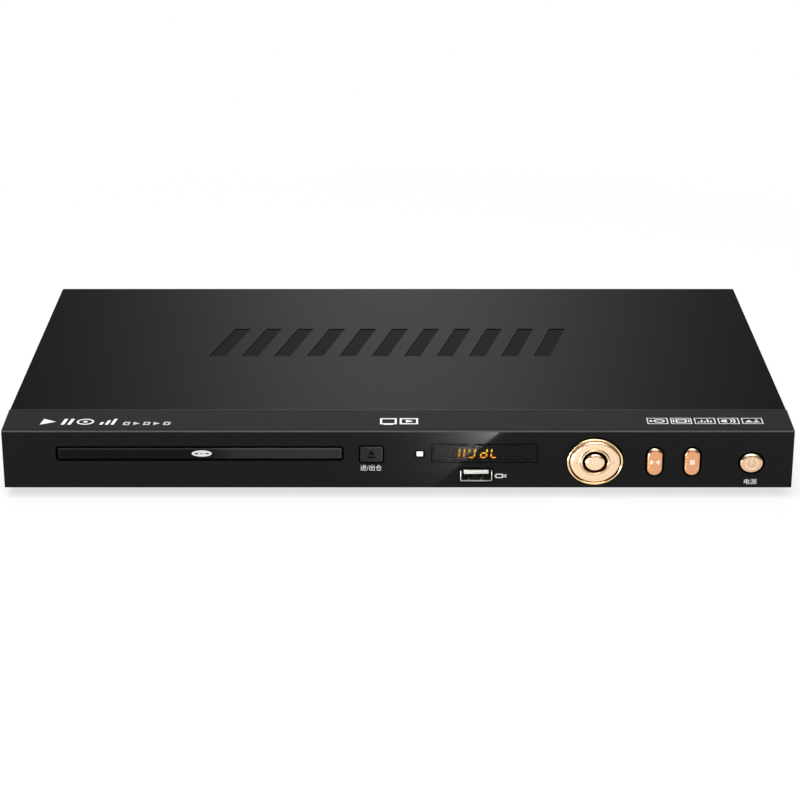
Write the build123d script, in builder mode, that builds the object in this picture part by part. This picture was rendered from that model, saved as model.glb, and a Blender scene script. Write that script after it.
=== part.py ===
# Disc player with a drawer: a flat steel cabinet with a moulded front, a disc loader at
# the left, circuit boards at the right and sockets at the back.
# +Z is up, the front looks along -Y, and the origin lies under the middle, on the floor.
import os
from math import acos, cos, degrees, pi, radians, sin, tan

from build123d import *

os.makedirs("parts", exist_ok=True)

# Cabinet
cabinet_depth = 203.0
face_height = 27.75
lip_depth = 24.0  # sloping strip between the face and the cover
lip_rise = 1.0
foot_height = 5.0
foot_radius = 8.0
foot_inset = 30.0  # from the side of the cabinet
foot_setback = 12.0  # from the ends of the floor sheet
sheet = 0.8  # steel sheet of cover, floor and back
fascia_wall = 2.2
fascia_foot = 1.8  # bottom wall of the fascia
fascia_return = 16.0  # how far that wall goes back
brow_radius = 0.5  # edge between the face and the strip
tongue_length = 6.0  # rib of the fascia under the cover
fit_gap = 0.2  # between fixed pieces that fit into each other
key_gap = 0.3  # around keys in their holes
cover_fold = 0.9
cover_lip = 5.0  # turned-down rear edge of the cover
panel_recess = 1.0  # of the rear panel behind the edge of the cover
flange_height = 9.0  # sides of the floor sheet
jack_reach = 7.5  # barrels of the jacks behind the cabinet
ring_stand = 1.4  # crown of the ring in front of the face

front_y = ring_stand - (ring_stand + cabinet_depth + jack_reach) / 2
rear_y = front_y + cabinet_depth
seam_y = front_y + lip_depth
floor_z = foot_height
floor_top = floor_z + sheet
face_top = floor_z + face_height
roof_z = face_top + lip_rise
panel_y = rear_y - panel_recess

# Front, from left to right: the cabinet is as wide as this row
left_margin = 24.7
door_width = 129.0
slot_gap = 0.55
eject_gap = 8.05  # between the drawer's slot and the eject key
eject_width = 10.1
light_gap = 15.45
light_width = 3.0
window_gap = 4.0
window_width = 48.0
bezel_gap = 13.5
bezel_width = 25.7
oblong_gap = 10.75
oblong_width = 7.3
oblong_spacing = 9.75
power_gap = 17.95
power_width = 10.9
right_margin = 13.45

slot_width = door_width + 2 * slot_gap
slot_right = left_margin + slot_width
eject_right = slot_right + eject_gap + eject_width
light_right = eject_right + light_gap + light_width
window_right = light_right + window_gap + window_width
bezel_right = window_right + bezel_gap + bezel_width
play_right = bezel_right + oblong_gap + oblong_width
stop_right = play_right + oblong_spacing + oblong_width
power_right = stop_right + power_gap + power_width
half_width = (power_right + right_margin) / 2
loader_x = slot_right - slot_width / 2 - half_width
eject_x = eject_right - eject_width / 2 - half_width
light_x = light_right - light_width / 2 - half_width
window_x = window_right - window_width / 2 - half_width
usb_x = window_x - 3.65
ring_x = bezel_right - bezel_width / 2 - half_width
oblong_x = (play_right - oblong_width / 2 - half_width, stop_right - oblong_width / 2 - half_width)
power_x = power_right - power_width / 2 - half_width

# Front, downwards from the top edge of the face
slot_gap_z = 0.75
door_height = 5.0
door_thick = 2.4
door_z = face_top - 11.0
eject_z = face_top - 11.4
eject_height = 7.2
light_z = face_top - 11.25
light_height = 2.5
window_z = face_top - 10.9
window_height = 8.9
window_thick = 1.2
window_ledge = 1.4
window_corner = 0.8
usb_z = face_top - 21.65
usb_width, usb_height = 14.6, 6.2
usb_depth = 13.0
usb_skin = 0.4
usb_surround = 0.45
ring_z = face_top - 14.9
ring_width, ring_height = 22.7, 19.9
ring_well_width, ring_well_height = 10.8, 10.0
ring_rim = 1.25  # raised inner rim
ring_rim_stand = 0.45
ring_back = 6.0  # depth of the ring behind the face
ring_gap = 0.35
bezel_height = 22.6
bezel_stand = 0.9
bezel_flange = 0.6
pivot_pin_radius = 0.7
pivot_pin_depth = 4.6
pivot_width, pivot_height = 4.4, 2.1  # blocks that hold the pins
pivot_end = 6.6
enter_width, enter_height = 9.1, 8.05
enter_stand = 1.0
oblong_height = 13.4
oblong_z = face_top - 15.0
power_z = face_top - 15.6
power_height = 9.5
key_stand = 1.0
key_flange = 1.0  # thickness and overhang of the keys' flanges
key_stem = 3.0
key_travel = 0.5
board_depth = 14.0  # front board behind the face
board_thick = 1.2
switch_size = 6.0
switch_height = 3.5
plunger_radius = 1.6
plunger_height = 0.8
post_radius = 2.4
post_z = floor_z + 6.0
post_places = (
    (light_x - 7.9, post_z),
    (window_x + 30.6, post_z),
    (ring_x + 17.75, post_z - 0.5),
    (oblong_x[1] + 12.45, post_z),
    (half_width - 7.5, post_z),
)

# Loader: places are (x from its middle, depth behind the face)
tray_width = 127.4
tray_bottom = door_z - door_height / 2 + 0.05
tray_top = tray_bottom + 4.4
tray_gap = 0.5
disc_radius = 60.0
disc_depth = 67.0
disc_play = 0.5
disc_floor = tray_bottom + 2.5
small_disc_radius = 40.0
small_disc_floor = tray_bottom + 1.6
tray_plate_end = 134.0
tray_arm = 9.0
tray_arm_end = 172.0
tray_window = 34.0
frame_wall = 2.0
frame_front = 5.0
frame_floor_thick = 1.0
frame_floor_end = 44.5
ledge_width = 3.0
ledge_thick = 1.4
slide_gap = 0.3
hook_reach = 2.0
boss_radius = 4.0
screw_radius = 1.4
screw_head_radius = 2.7
screw_head = 1.4

# Gears of the drawer
module_rack = 1.0
module_wheel = 0.8
drive_teeth = 16
wheel_teeth = 36
pinion_teeth = 12
pressure_angle = 20.0
tooth_play = 0.16  # thinning of each tooth at the pitch line
gear_depth = 31.5  # axle of the drawer gear behind the face
pulley_bearing = 25.0  # degrees from the drawer gear towards the front
pulley_radius = 9.0
pulley_rim = 0.7
motor_x = 14.0
motor_depth = 22.5
motor_radius = 10.5
motor_pulley_radius = 2.6
axle_radius = 1.5
gear_hub = 4.0
axle_play = 0.06
belt_thick = 1.2
wheel_low, wheel_high = tray_bottom - 7.8, tray_bottom - 5.3
pulley_low, pulley_high = tray_bottom - 4.1, tray_bottom - 1.1

# Deck that swings up under the disc: levels are those of the raised deck
pivot_depth = 162.0
frame_tail = 12.0  # of the loader's frame behind the deck's pivots
frame_end = pivot_depth + frame_tail
pivot_z = tray_bottom - 5.3
deck_drop = 4.1  # degrees between lowered and raised
deck_half = 45.0
deck_front = 45.5
deck_end = 158.5
deck_level = tray_bottom - 2.9
deck_thick = 2.0
deck_rib = 1.2
trunnion_radius = 2.0
trunnion_play = 0.08
cam_front = 39.2
cam_thick = 3.8
cam_travel = 14.0
cam_reach = (-42.0, 31.0)
cam_pin_x = (-24.0, 12.0)
cam_pin_radius = 1.0
cam_pin_level = tray_bottom - 2.05
cam_pin_play = 0.25
platter_radius = 15.0
platter_level = tray_bottom + 3.7  # where the disc sits when it is lifted
platter_thick = 1.6
hub_radius = 7.4
hub_height = 1.9
spindle_radius = 1.0
spindle_motor_radius = 12.5
spindle_motor_low, spindle_motor_high = tray_bottom - 5.3, tray_bottom + 1.0
rod_x = 19.5
rod_radius = 1.5
rod_level = tray_bottom - 4.4
rod_front, rod_end = 78.0, 146.0
pickup_depth = 90.0  # lens behind the face when parked
pickup_window = 23.4  # left edge of the deck's opening from the middle
screw_window = 31.5  # its right edge
throat_half = 16.8
screw_x = 27.0
lead_radius = 1.6
clamper_radius = 12.2
clamper_low = tray_top + 0.35
bridge_low = tray_top + 1.35
bridge_thick = 1.6
bridge_width = 38.0

# Boards and sockets
post_height = 6.0
pillar_radius = 3.0
board_margin = 6.0  # from the side of the cabinet
power_board_width = 58.0
power_board_length = 112.0
board_spacing = 10.0
main_board_gap = 2.65  # between the feet of the loader and the main board
main_board_length = 84.0
loader_side = loader_x + tray_width / 2 + tray_gap + frame_wall + 2 * boss_radius - 0.6
power_left = half_width - board_margin - power_board_width
main_left = loader_side + main_board_gap
main_board_x = (main_left, power_left - board_spacing)
power_board_x = (power_left, power_left + power_board_width)
circuit_thick = 1.6
fuse_radius = 2.6
chip_thick = 1.6
jack_pitch = 14.0
jack_count = 6
jack_first_x = main_left + 41.0
jack_axis = 7.6  # above the board
barrel_radius = 4.15
barrel_skin = 0.7
barrel_neck = 3.95  # of the barrel inside the block
collar_stand = 0.4  # collars of the block behind the panel
jack_depth = 11.0
jack_seat = 7.0  # depth of the barrels in the block
collar_radius = 5.6
video_x = main_left + 17.0
video_width, video_height = 15.0, 5.8
inlet_x = half_width - 30.0
inlet_width, inlet_height, inlet_depth = 20.0, 12.6, 19.0
inlet_pin_x = 4.3
inlet_pin_radius = 1.2
board_z = floor_top + post_height
board_top = board_z + circuit_thick
board_rear = cabinet_depth - panel_recess - sheet - fit_gap  # depth behind the face


def front_plane(depth):
    return Plane.XZ.offset(-(front_y + depth))


def floor_plane(level):
    return Plane(origin=(0, front_y, level))


def loader_plane(level):
    return Plane(origin=(loader_x, front_y, level))


drop = radians(deck_drop)
deck_up = Vector(0, -sin(drop), cos(drop))
deck_back = Vector(0, cos(drop), sin(drop))
pivot = Vector(loader_x, front_y + pivot_depth, pivot_z)


def deck_plane(level):
    origin = pivot - deck_back * pivot_depth + deck_up * (level - pivot_z)
    return Plane(origin=origin, x_dir=(1, 0, 0), z_dir=deck_up)


def deck_section(depth):
    origin = pivot + deck_back * (depth - pivot_depth) - deck_up * pivot_z
    return Plane(origin=origin, x_dir=(1, 0, 0), z_dir=-deck_back)


def block(x_span, depth_span, z_span, mode=Mode.ADD):
    size = [span[1] - span[0] for span in (x_span, depth_span, z_span)]
    middle = [(span[0] + span[1]) / 2 for span in (x_span, depth_span, z_span)]
    with Locations((middle[0], front_y + middle[1], middle[2])):
        Box(*size, mode=mode)


def gear_outline(teeth, module, turn, place):
    pitch_radius = teeth * module / 2
    base_radius = pitch_radius * cos(radians(pressure_angle))
    root_radius = pitch_radius - 1.25 * module
    tip_radius = pitch_radius + module

    def involute(radius):
        angle = acos(min(1.0, base_radius / radius))
        return tan(angle) - angle

    half_tooth = pi / (2 * teeth) - tooth_play / (2 * pitch_radius) + involute(pitch_radius)
    flank = []
    for radius in (root_radius, max(root_radius, base_radius), pitch_radius, tip_radius):
        if not flank or radius > flank[-1][0]:
            flank.append((radius, half_tooth - involute(max(radius, base_radius))))
    points = []
    for tooth in range(teeth):
        middle = radians(turn) + 2 * pi * tooth / teeth
        for radius, half in flank:
            points.append((place[0] + radius * cos(middle - half), place[1] + radius * sin(middle - half)))
        for radius, half in reversed(flank):
            points.append((place[0] + radius * cos(middle + half), place[1] + radius * sin(middle + half)))
    return points


# Front

slot_height = door_height + 2 * slot_gap_z
bezel_sleeve_width = bezel_width - 2 * bezel_flange
bezel_sleeve_height = bezel_height - 2 * bezel_flange
pin_tip = ring_height / 2 + 1.7
panel_split = loader_x + slot_width / 2 + eject_gap / 2
strip_slope = lip_rise / lip_depth


def strip_level(depth):
    return face_top + strip_slope * depth


with BuildPart() as front_fascia:
    with BuildSketch(Plane.YZ):
        with BuildLine():
            Polyline(
                (front_y + fascia_wall, floor_z),
                (front_y + fascia_wall, strip_level(fascia_wall)),
                (seam_y, roof_z),
                (seam_y, floor_z),
                close=True,
            )
        make_face()
    extrude(amount=half_width, both=True)
    with BuildSketch(Plane.YZ):
        with BuildLine():
            Polyline(
                (front_y, floor_z + fascia_foot),
                (front_y, face_top - fascia_wall),
                (seam_y, roof_z - fascia_wall),
                (seam_y, floor_z + fascia_foot),
                close=True,
            )
        make_face()
    extrude(amount=half_width - fascia_wall, both=True, mode=Mode.SUBTRACT)
    foot_levels = (floor_z, floor_z + fascia_foot)
    block((-half_width, half_width), (fascia_return, lip_depth), foot_levels, Mode.SUBTRACT)
    block(
        (ring_x - pivot_width / 2 - fit_gap, ring_x + pivot_width / 2 + fit_gap),
        (fascia_wall, pivot_end + fit_gap),
        foot_levels,
        Mode.SUBTRACT,
    )
    block(
        (-half_width + 8, half_width - 8),
        (lip_depth - 1, lip_depth + tongue_length),
        (roof_z - fascia_wall, roof_z - sheet - fit_gap),
    )
front_fascia.part.label = "front_fascia"
export_step(front_fascia.part, "parts/front_fascia.step")

with BuildPart() as drawer_surround:
    block((-half_width, panel_split), (0, fascia_wall), (floor_z, face_top))
    chamfer(drawer_surround.edges().filter_by(Axis.X).group_by(Axis.Z)[-1].sort_by(Axis.Y)[0], brow_radius)
    with BuildSketch(front_plane(0)):
        with Locations((loader_x, door_z)):
            Rectangle(slot_width, slot_height)
    extrude(amount=-fascia_wall, mode=Mode.SUBTRACT)
drawer_surround.part.label = "drawer_surround"
export_step(drawer_surround.part, "parts/drawer_surround.step")

with BuildPart() as control_panel:
    block((panel_split, half_width), (0, fascia_wall), (floor_z, face_top))
    chamfer(control_panel.edges().filter_by(Axis.X).group_by(Axis.Z)[-1].sort_by(Axis.Y)[0], brow_radius)
    with BuildSketch(front_plane(fascia_wall)):
        with Locations(*post_places):
            Circle(post_radius)
    extrude(amount=-(board_depth - fascia_wall))
    with BuildSketch(front_plane(fascia_wall)):
        for side in (-1, 1):
            with Locations((ring_x, ring_z + side * (ring_height / 2 + ring_gap + 1.1))):
                Rectangle(pivot_width, pivot_height)
    extrude(amount=-(pivot_end - fascia_wall))
    with BuildSketch(front_plane(0)):
        with Locations((eject_x, eject_z)):
            Rectangle(eject_width + 2 * key_gap, eject_height + 2 * key_gap)
        with Locations((light_x, light_z)):
            Rectangle(light_width, light_height)
        with Locations((window_x, window_z)):
            Rectangle(window_width - 2 * window_ledge, window_height - 2 * window_ledge)
        with Locations((usb_x, usb_z)):
            Rectangle(usb_width + 2 * usb_surround, usb_height + 2 * usb_surround)
        with Locations((ring_x, ring_z)):
            Ellipse(bezel_sleeve_width / 2 + fit_gap / 2, bezel_sleeve_height / 2 + fit_gap / 2)
        with Locations(*[(x, oblong_z) for x in oblong_x]):
            SlotOverall(oblong_height + 2 * key_gap, oblong_width + 2 * key_gap, rotation=90)
        with Locations((power_x, power_z)):
            Ellipse(power_width / 2 + key_gap, power_height / 2 + key_gap)
    extrude(amount=-(fascia_wall + 0.01), mode=Mode.SUBTRACT)
    with BuildSketch(front_plane(0)):
        with Locations((window_x, window_z)):
            RectangleRounded(window_width, window_height, window_corner)
    extrude(amount=-window_thick, mode=Mode.SUBTRACT)
    with BuildSketch(Plane.XY.offset(ring_z)):
        with Locations((ring_x, front_y + pivot_pin_depth)):
            Circle(pivot_pin_radius + axle_play)
    extrude(amount=pin_tip + fit_gap, both=True, mode=Mode.SUBTRACT)
    with BuildSketch(front_plane(board_depth)):
        with Locations(*post_places):
            Circle(screw_radius + axle_play)
    extrude(amount=8, mode=Mode.SUBTRACT)
control_panel.part.label = "control_panel"
export_step(control_panel.part, "parts/control_panel.step")

with BuildPart() as display_window:
    with BuildSketch(front_plane(window_thick)):
        with Locations((window_x, window_z)):
            RectangleRounded(window_width - fit_gap, window_height - fit_gap, window_corner)
    extrude(amount=window_thick)
display_window.part.label = "display_window"
export_step(display_window.part, "parts/display_window.step")

with BuildPart() as standby_light:
    with BuildSketch(front_plane(0)):
        with Locations((light_x, light_z)):
            Rectangle(light_width - fit_gap, light_height - fit_gap)
    extrude(amount=-(fascia_wall + 1))
    with BuildSketch(front_plane(fascia_wall)):
        with Locations((light_x, light_z)):
            Rectangle(light_width + 2, light_height + 2)
    extrude(amount=-1)
    with BuildSketch(front_plane(fascia_wall + 1)):
        with Locations((light_x, light_z)):
            Circle(light_height / 2)
    extrude(amount=-(board_depth - fascia_wall - 1 - fit_gap), taper=3)
    chamfer(standby_light.edges().group_by(Axis.Y)[0], 0.15)
standby_light.part.label = "standby_light"
export_step(standby_light.part, "parts/standby_light.step")

with BuildPart() as usb_shell:
    with BuildSketch(front_plane(fit_gap)):
        with Locations((usb_x, usb_z)):
            Rectangle(usb_width, usb_height)
            Rectangle(usb_width - 2 * usb_skin, usb_height - 2 * usb_skin, mode=Mode.SUBTRACT)
    extrude(amount=-usb_depth)
    with BuildSketch(front_plane(usb_depth + fit_gap)):
        with Locations((usb_x, usb_z)):
            Rectangle(usb_width, usb_height)
    extrude(amount=usb_skin)
    with BuildSketch(Plane.XY.offset(usb_z)):
        with Locations(*[(usb_x + side * 3.4, front_y + 5.0) for side in (-1, 1)]):
            Rectangle(2.6, 6.0)
            with Locations((0, 0.6)):
                Rectangle(1.8, 4.8, mode=Mode.SUBTRACT)
    extrude(amount=usb_height, both=True, mode=Mode.SUBTRACT)
usb_shell.part.label = "usb_shell"
export_step(usb_shell.part, "parts/usb_shell.step")

usb_tongue_top = usb_z + usb_height / 2 - usb_skin - 0.75
with BuildPart() as usb_tongue:
    block(
        (usb_x - 5.6, usb_x + 5.6),
        (fit_gap + 1.6, usb_depth + fit_gap - usb_skin),
        (usb_tongue_top - 1.8, usb_tongue_top),
    )
    chamfer(usb_tongue.edges().group_by(Axis.Y)[0].filter_by(Axis.X), 0.4)
    block(
        (usb_x - usb_width / 2 + usb_skin, usb_x + usb_width / 2 - usb_skin),
        (usb_depth + fit_gap - usb_skin - 2.4, usb_depth + fit_gap - usb_skin),
        (usb_z - usb_height / 2 + usb_skin, usb_z + usb_height / 2 - usb_skin),
    )
usb_tongue.part.label = "usb_tongue"
export_step(usb_tongue.part, "parts/usb_tongue.step")

with BuildPart() as ring_bezel:
    with BuildSketch(front_plane(0)):
        with Locations((ring_x, ring_z)):
            Ellipse(bezel_width / 2, bezel_height / 2)
    extrude(amount=bezel_stand)
    chamfer(ring_bezel.edges().sort_by(Axis.Y)[0], bezel_stand / 2)
    with BuildSketch(front_plane(0)):
        with Locations((ring_x, ring_z)):
            Ellipse(bezel_sleeve_width / 2, bezel_sleeve_height / 2)
    extrude(amount=-fascia_wall)
    with BuildSketch(front_plane(-bezel_stand)):
        with Locations((ring_x, ring_z)):
            Ellipse(ring_width / 2 + ring_gap, ring_height / 2 + ring_gap)
    extrude(amount=-(bezel_stand + fascia_wall), mode=Mode.SUBTRACT)
ring_bezel.part.label = "ring_bezel"
export_step(ring_bezel.part, "parts/ring_bezel.step")

with BuildPart() as control_ring:
    with BuildSketch(front_plane(-(ring_stand - ring_rim_stand))):
        with Locations((ring_x, ring_z)):
            Ellipse(ring_width / 2, ring_height / 2)
    extrude(amount=-(ring_stand - ring_rim_stand + ring_back))
    chamfer(control_ring.edges().sort_by(Axis.Y)[0], 0.6)
    with BuildSketch(front_plane(-(ring_stand - ring_rim_stand))):
        with Locations((ring_x, ring_z)):
            Ellipse(ring_well_width / 2 + ring_rim, ring_well_height / 2 + ring_rim)
    extrude(amount=ring_rim_stand)
    chamfer(control_ring.edges().sort_by(Axis.Y)[0], ring_rim_stand / 2)
    with BuildSketch(front_plane(-ring_stand)):
        with Locations((ring_x, ring_z)):
            Ellipse(ring_well_width / 2, ring_well_height / 2)
    extrude(amount=-(ring_stand + ring_back), mode=Mode.SUBTRACT)
    with BuildSketch(front_plane(fascia_wall)):
        with Locations((ring_x, ring_z)):
            Ellipse(ring_width / 2 - 1.6, ring_height / 2 - 1.6)
            Ellipse(ring_well_width / 2 + 1.0, ring_well_height / 2 + 1.0, mode=Mode.SUBTRACT)
    extrude(amount=-ring_back, mode=Mode.SUBTRACT)
    with BuildSketch(Plane.XY.offset(ring_z)):
        with Locations((ring_x, front_y + pivot_pin_depth)):
            Circle(pivot_pin_radius)
    extrude(amount=pin_tip, both=True)
    with BuildSketch(front_plane(pivot_pin_depth - 1.4)):
        with Locations((ring_x, ring_z)):
            Ellipse(ring_well_width / 2, ring_well_height / 2)
    extrude(amount=-2.8, mode=Mode.SUBTRACT)
    with BuildSketch(front_plane(fascia_wall - 0.5)):
        for side in (-1, 1):
            with Locations((ring_x + side * (ring_width / 2 - 2.4), ring_z)):
                Circle(key_stem / 2)
    extrude(amount=-(board_depth - switch_height - plunger_height - 0.6 - fascia_wall + 0.5))
control_ring.part.label = "control_ring"
export_step(control_ring.part, "parts/control_ring.step")

stem_end = board_depth - switch_height - plunger_height - key_travel - 0.1
flange_depth = fascia_wall + slide_gap
enter_seat = ring_back + 0.8

with BuildPart() as enter_button:
    with BuildSketch(front_plane(-enter_stand)):
        with Locations((ring_x, ring_z)):
            Ellipse(enter_width / 2, enter_height / 2)
    extrude(amount=-(enter_stand + enter_seat))
    chamfer(enter_button.edges().sort_by(Axis.Y)[0], 0.4)
    with BuildSketch(front_plane(enter_seat)):
        with Locations((ring_x, ring_z)):
            Ellipse(ring_well_width / 2 + 0.9, ring_well_height / 2 + 0.9)
    extrude(amount=-key_flange)
    with BuildSketch(front_plane(enter_seat + key_flange)):
        with Locations((ring_x, ring_z)):
            Circle(key_stem / 2)
    extrude(amount=-(stem_end - enter_seat - key_flange))
enter_button.part.label = "enter_button"
export_step(enter_button.part, "parts/enter_button.step")

for name, x in zip(("play_button", "stop_button"), oblong_x):
    with BuildPart() as oblong_button:
        with BuildSketch(front_plane(-key_stand)):
            with Locations((x, oblong_z)):
                SlotOverall(oblong_height, oblong_width, rotation=90)
        extrude(amount=-(key_stand + flange_depth))
        chamfer(oblong_button.faces().sort_by(Axis.Y)[0].edges(), 0.45)
        with BuildSketch(front_plane(flange_depth)):
            with Locations((x, oblong_z)):
                SlotOverall(oblong_height + 2 * key_flange, oblong_width + 2 * key_flange, rotation=90)
        extrude(amount=-key_flange)
        with BuildSketch(front_plane(flange_depth + key_flange)):
            with Locations((x, oblong_z)):
                Circle(key_stem / 2)
        extrude(amount=-(stem_end - flange_depth - key_flange))
    oblong_button.part.label = name
    export_step(oblong_button.part, f"parts/{name}.step")

with BuildPart() as power_button:
    with BuildSketch(front_plane(-key_stand)):
        with Locations((power_x, power_z)):
            Ellipse(power_width / 2, power_height / 2)
    extrude(amount=-(key_stand + flange_depth))
    chamfer(power_button.edges().sort_by(Axis.Y)[0], 0.45)
    with BuildSketch(front_plane(flange_depth)):
        with Locations((power_x, power_z)):
            Ellipse(power_width / 2 + key_flange, power_height / 2 + key_flange)
    extrude(amount=-key_flange)
    with BuildSketch(front_plane(flange_depth + key_flange)):
        with Locations((power_x, power_z)):
            Circle(key_stem / 2)
    extrude(amount=-(stem_end - flange_depth - key_flange))
power_button.part.label = "power_button"
export_step(power_button.part, "parts/power_button.step")

with BuildPart() as eject_button:
    with BuildSketch(front_plane(-0.2)):
        with Locations((eject_x, eject_z)):
            Rectangle(eject_width, eject_height)
    extrude(amount=-(0.2 + flange_depth))
    chamfer(eject_button.faces().sort_by(Axis.Y)[0].edges(), 0.3)
    with BuildSketch(front_plane(flange_depth)):
        with Locations((eject_x, eject_z)):
            Rectangle(eject_width + 2 * key_flange, eject_height + 2 * key_flange)
    extrude(amount=-key_flange)
    with BuildSketch(front_plane(flange_depth + key_flange)):
        with Locations((eject_x, eject_z)):
            Rectangle(key_stem, key_stem)
    extrude(amount=-(stem_end - flange_depth - key_flange))
eject_button.part.label = "eject_button"
export_step(eject_button.part, "parts/eject_button.step")

with BuildPart() as front_board:
    block(
        (eject_x - 6.9, half_width - 3.0),
        (board_depth, board_depth + board_thick),
        (floor_z + 2.5, face_top - 2.75),
    )
    with BuildSketch(front_plane(board_depth)):
        with Locations(*post_places):
            Circle(screw_radius + fit_gap)
    extrude(amount=-board_thick, mode=Mode.SUBTRACT)
front_board.part.label = "front_board"
export_step(front_board.part, "parts/front_board.step")

switch_places = (
    (eject_x, eject_z),
    (ring_x - ring_width / 2 + 2.4, ring_z),
    (ring_x, ring_z),
    (ring_x + ring_width / 2 - 2.4, ring_z),
    (oblong_x[0], oblong_z),
    (oblong_x[1], oblong_z),
    (power_x, power_z),
)
with BuildPart() as key_switches:
    with BuildSketch(front_plane(board_depth)):
        with Locations(*switch_places):
            Rectangle(switch_size, switch_size)
    extrude(amount=switch_height)
    with BuildSketch(front_plane(board_depth - switch_height)):
        with Locations(*switch_places):
            Circle(plunger_radius)
    extrude(amount=plunger_height)
key_switches.part.label = "key_switches"
export_step(key_switches.part, "parts/key_switches.step")

module_x = (window_x - 18.0, window_x + 12.0)
with BuildPart() as display_module:
    block(module_x, (fascia_wall + fit_gap + 1.0, board_depth), (window_z - 4.6, window_z + 5.2))
    with BuildSketch(front_plane(fascia_wall + fit_gap + 1.0)):
        with Locations(((module_x[0] + module_x[1]) / 2, window_z)):
            with GridLocations(7.0, 0, 4, 1):
                Rectangle(5.4, 7.4)
    extrude(amount=-0.6, mode=Mode.SUBTRACT)
    block((window_x + 15, window_x + 21), (fascia_wall + 2.6, board_depth), (window_z - 3.4, window_z + 3.4))
display_module.part.label = "display_module"
export_step(display_module.part, "parts/display_module.step")

# Steel cabinet

cover_screw_x = (20.0 - half_width, -4.0, half_width - 20.0)
screw_line = roof_z - cover_lip / 2 - 0.6

with BuildPart() as top_cover:
    with BuildSketch(Plane.XZ.offset(-rear_y)):
        with Locations((0, (floor_z + roof_z) / 2)):
            Rectangle(2 * half_width, roof_z - floor_z)
    extrude(amount=rear_y - seam_y)
    fillet(top_cover.edges().filter_by(Axis.Y).group_by(Axis.Z)[-1], cover_fold)
    block(
        (-half_width + sheet, half_width - sheet),
        (lip_depth, cabinet_depth),
        (floor_z, roof_z - sheet),
        Mode.SUBTRACT,
    )
    block(
        (-half_width + sheet, half_width - sheet),
        (cabinet_depth - sheet, cabinet_depth),
        (roof_z - cover_lip, roof_z - sheet),
    )
    with BuildSketch(Plane.YZ):
        with Locations((rear_y - 62, floor_z + 15.0)):
            with GridLocations(7.0, 0, 12, 1):
                SlotOverall(11.0, 2.6, rotation=90)
    extrude(amount=half_width, both=True, mode=Mode.SUBTRACT)
    pressed_bars = [(-88 + 16.0 * number, 8.0) for number in range(11)]
    for level, way in ((roof_z, Mode.SUBTRACT), (roof_z - sheet, Mode.ADD)):
        with BuildSketch(floor_plane(level)):
            for left, width in pressed_bars:
                with BuildLine():
                    Polyline(
                        (left - 5.0, 97.0),
                        (left - 5.0 + width, 97.0),
                        (left + 5.0 + width, 138.0),
                        (left + 5.0, 138.0),
                        close=True,
                    )
                make_face()
        extrude(amount=-0.35, mode=way)
    with BuildSketch(Plane.XZ.offset(-rear_y)):
        with Locations(*[(x, screw_line) for x in cover_screw_x]):
            Circle(screw_radius + fit_gap)
    extrude(amount=sheet, mode=Mode.SUBTRACT)
top_cover.part.label = "top_cover"
export_step(top_cover.part, "parts/top_cover.step")

main_board_depth = (board_rear - main_board_length, board_rear)
power_board_depth = (board_rear - power_board_length, board_rear)
board_posts = [
    (x, depth)
    for span, rows in ((main_board_x, main_board_depth), (power_board_x, power_board_depth))
    for x in (span[0] + 4, span[1] - 4)
    for depth in (rows[0] + 4, rows[1] - 22)
]
floor_half = half_width - sheet - fit_gap
floor_front = fascia_return + fit_gap
floor_rear = cabinet_depth - panel_recess - sheet
foot_places = [
    (side * (half_width - foot_inset), depth)
    for side in (-1, 1)
    for depth in (floor_front + foot_setback, floor_rear - foot_setback)
]
loader_feet = [
    (side * (tray_width / 2 + tray_gap + frame_wall + boss_radius - 0.6), depth)
    for side in (-1, 1)
    for depth in (58.0, 166.0)
]
panel_flange = 9.0
panel_screw_x = (20.0 - half_width, main_left + 34.0, power_left - 4.0)

with BuildPart() as chassis_base:
    with BuildSketch(Plane.XZ.offset(-(front_y + floor_rear))):
        with Locations((0, floor_z + flange_height / 2)):
            Rectangle(2 * floor_half, flange_height)
        with Locations((0, floor_top + flange_height / 2)):
            Rectangle(2 * (floor_half - sheet), flange_height, mode=Mode.SUBTRACT)
    extrude(amount=floor_rear - floor_front)
    for side in (-1, 1):
        block(
            sorted((side * (half_width - fascia_wall - fit_gap), side * half_width)),
            (floor_front, lip_depth + fit_gap),
            (floor_z, floor_top + flange_height),
            Mode.SUBTRACT,
        )
    block(
        (main_left + 10.0, half_width - fascia_wall - fit_gap),
        (floor_front, floor_front + sheet),
        (floor_top, floor_top + 1.6),
    )
    for level, way in ((floor_top, Mode.ADD), (floor_z, Mode.SUBTRACT)):
        with BuildSketch(floor_plane(level)):
            with Locations((main_left + 68.0, 52.0), (main_left + 68.0, 76.0)):
                SlotOverall(96.0, 5.0)
            with Locations((half_width - 13.0, 50.0)):
                SlotOverall(50.0, 5.0, rotation=90)
        extrude(amount=0.5, mode=way)
    with BuildSketch(floor_plane(floor_z)):
        with Locations((sum(power_board_x) / 2, sum(power_board_depth) / 2 - 6)):
            with GridLocations(8.0, 30.0, 5, 2):
                SlotOverall(22.0, 3.0, rotation=90)
        with Locations(*foot_places, *board_posts):
            Circle(screw_radius + fit_gap)
        with Locations(*[(loader_x + x, depth) for x, depth in loader_feet]):
            Circle(screw_radius + fit_gap)
        with Locations(*[(x, floor_rear - panel_flange / 2) for x in panel_screw_x]):
            Circle(screw_radius + fit_gap)
    extrude(amount=sheet, mode=Mode.SUBTRACT)
chassis_base.part.label = "chassis_base"
export_step(chassis_base.part, "parts/chassis_base.step")

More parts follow.
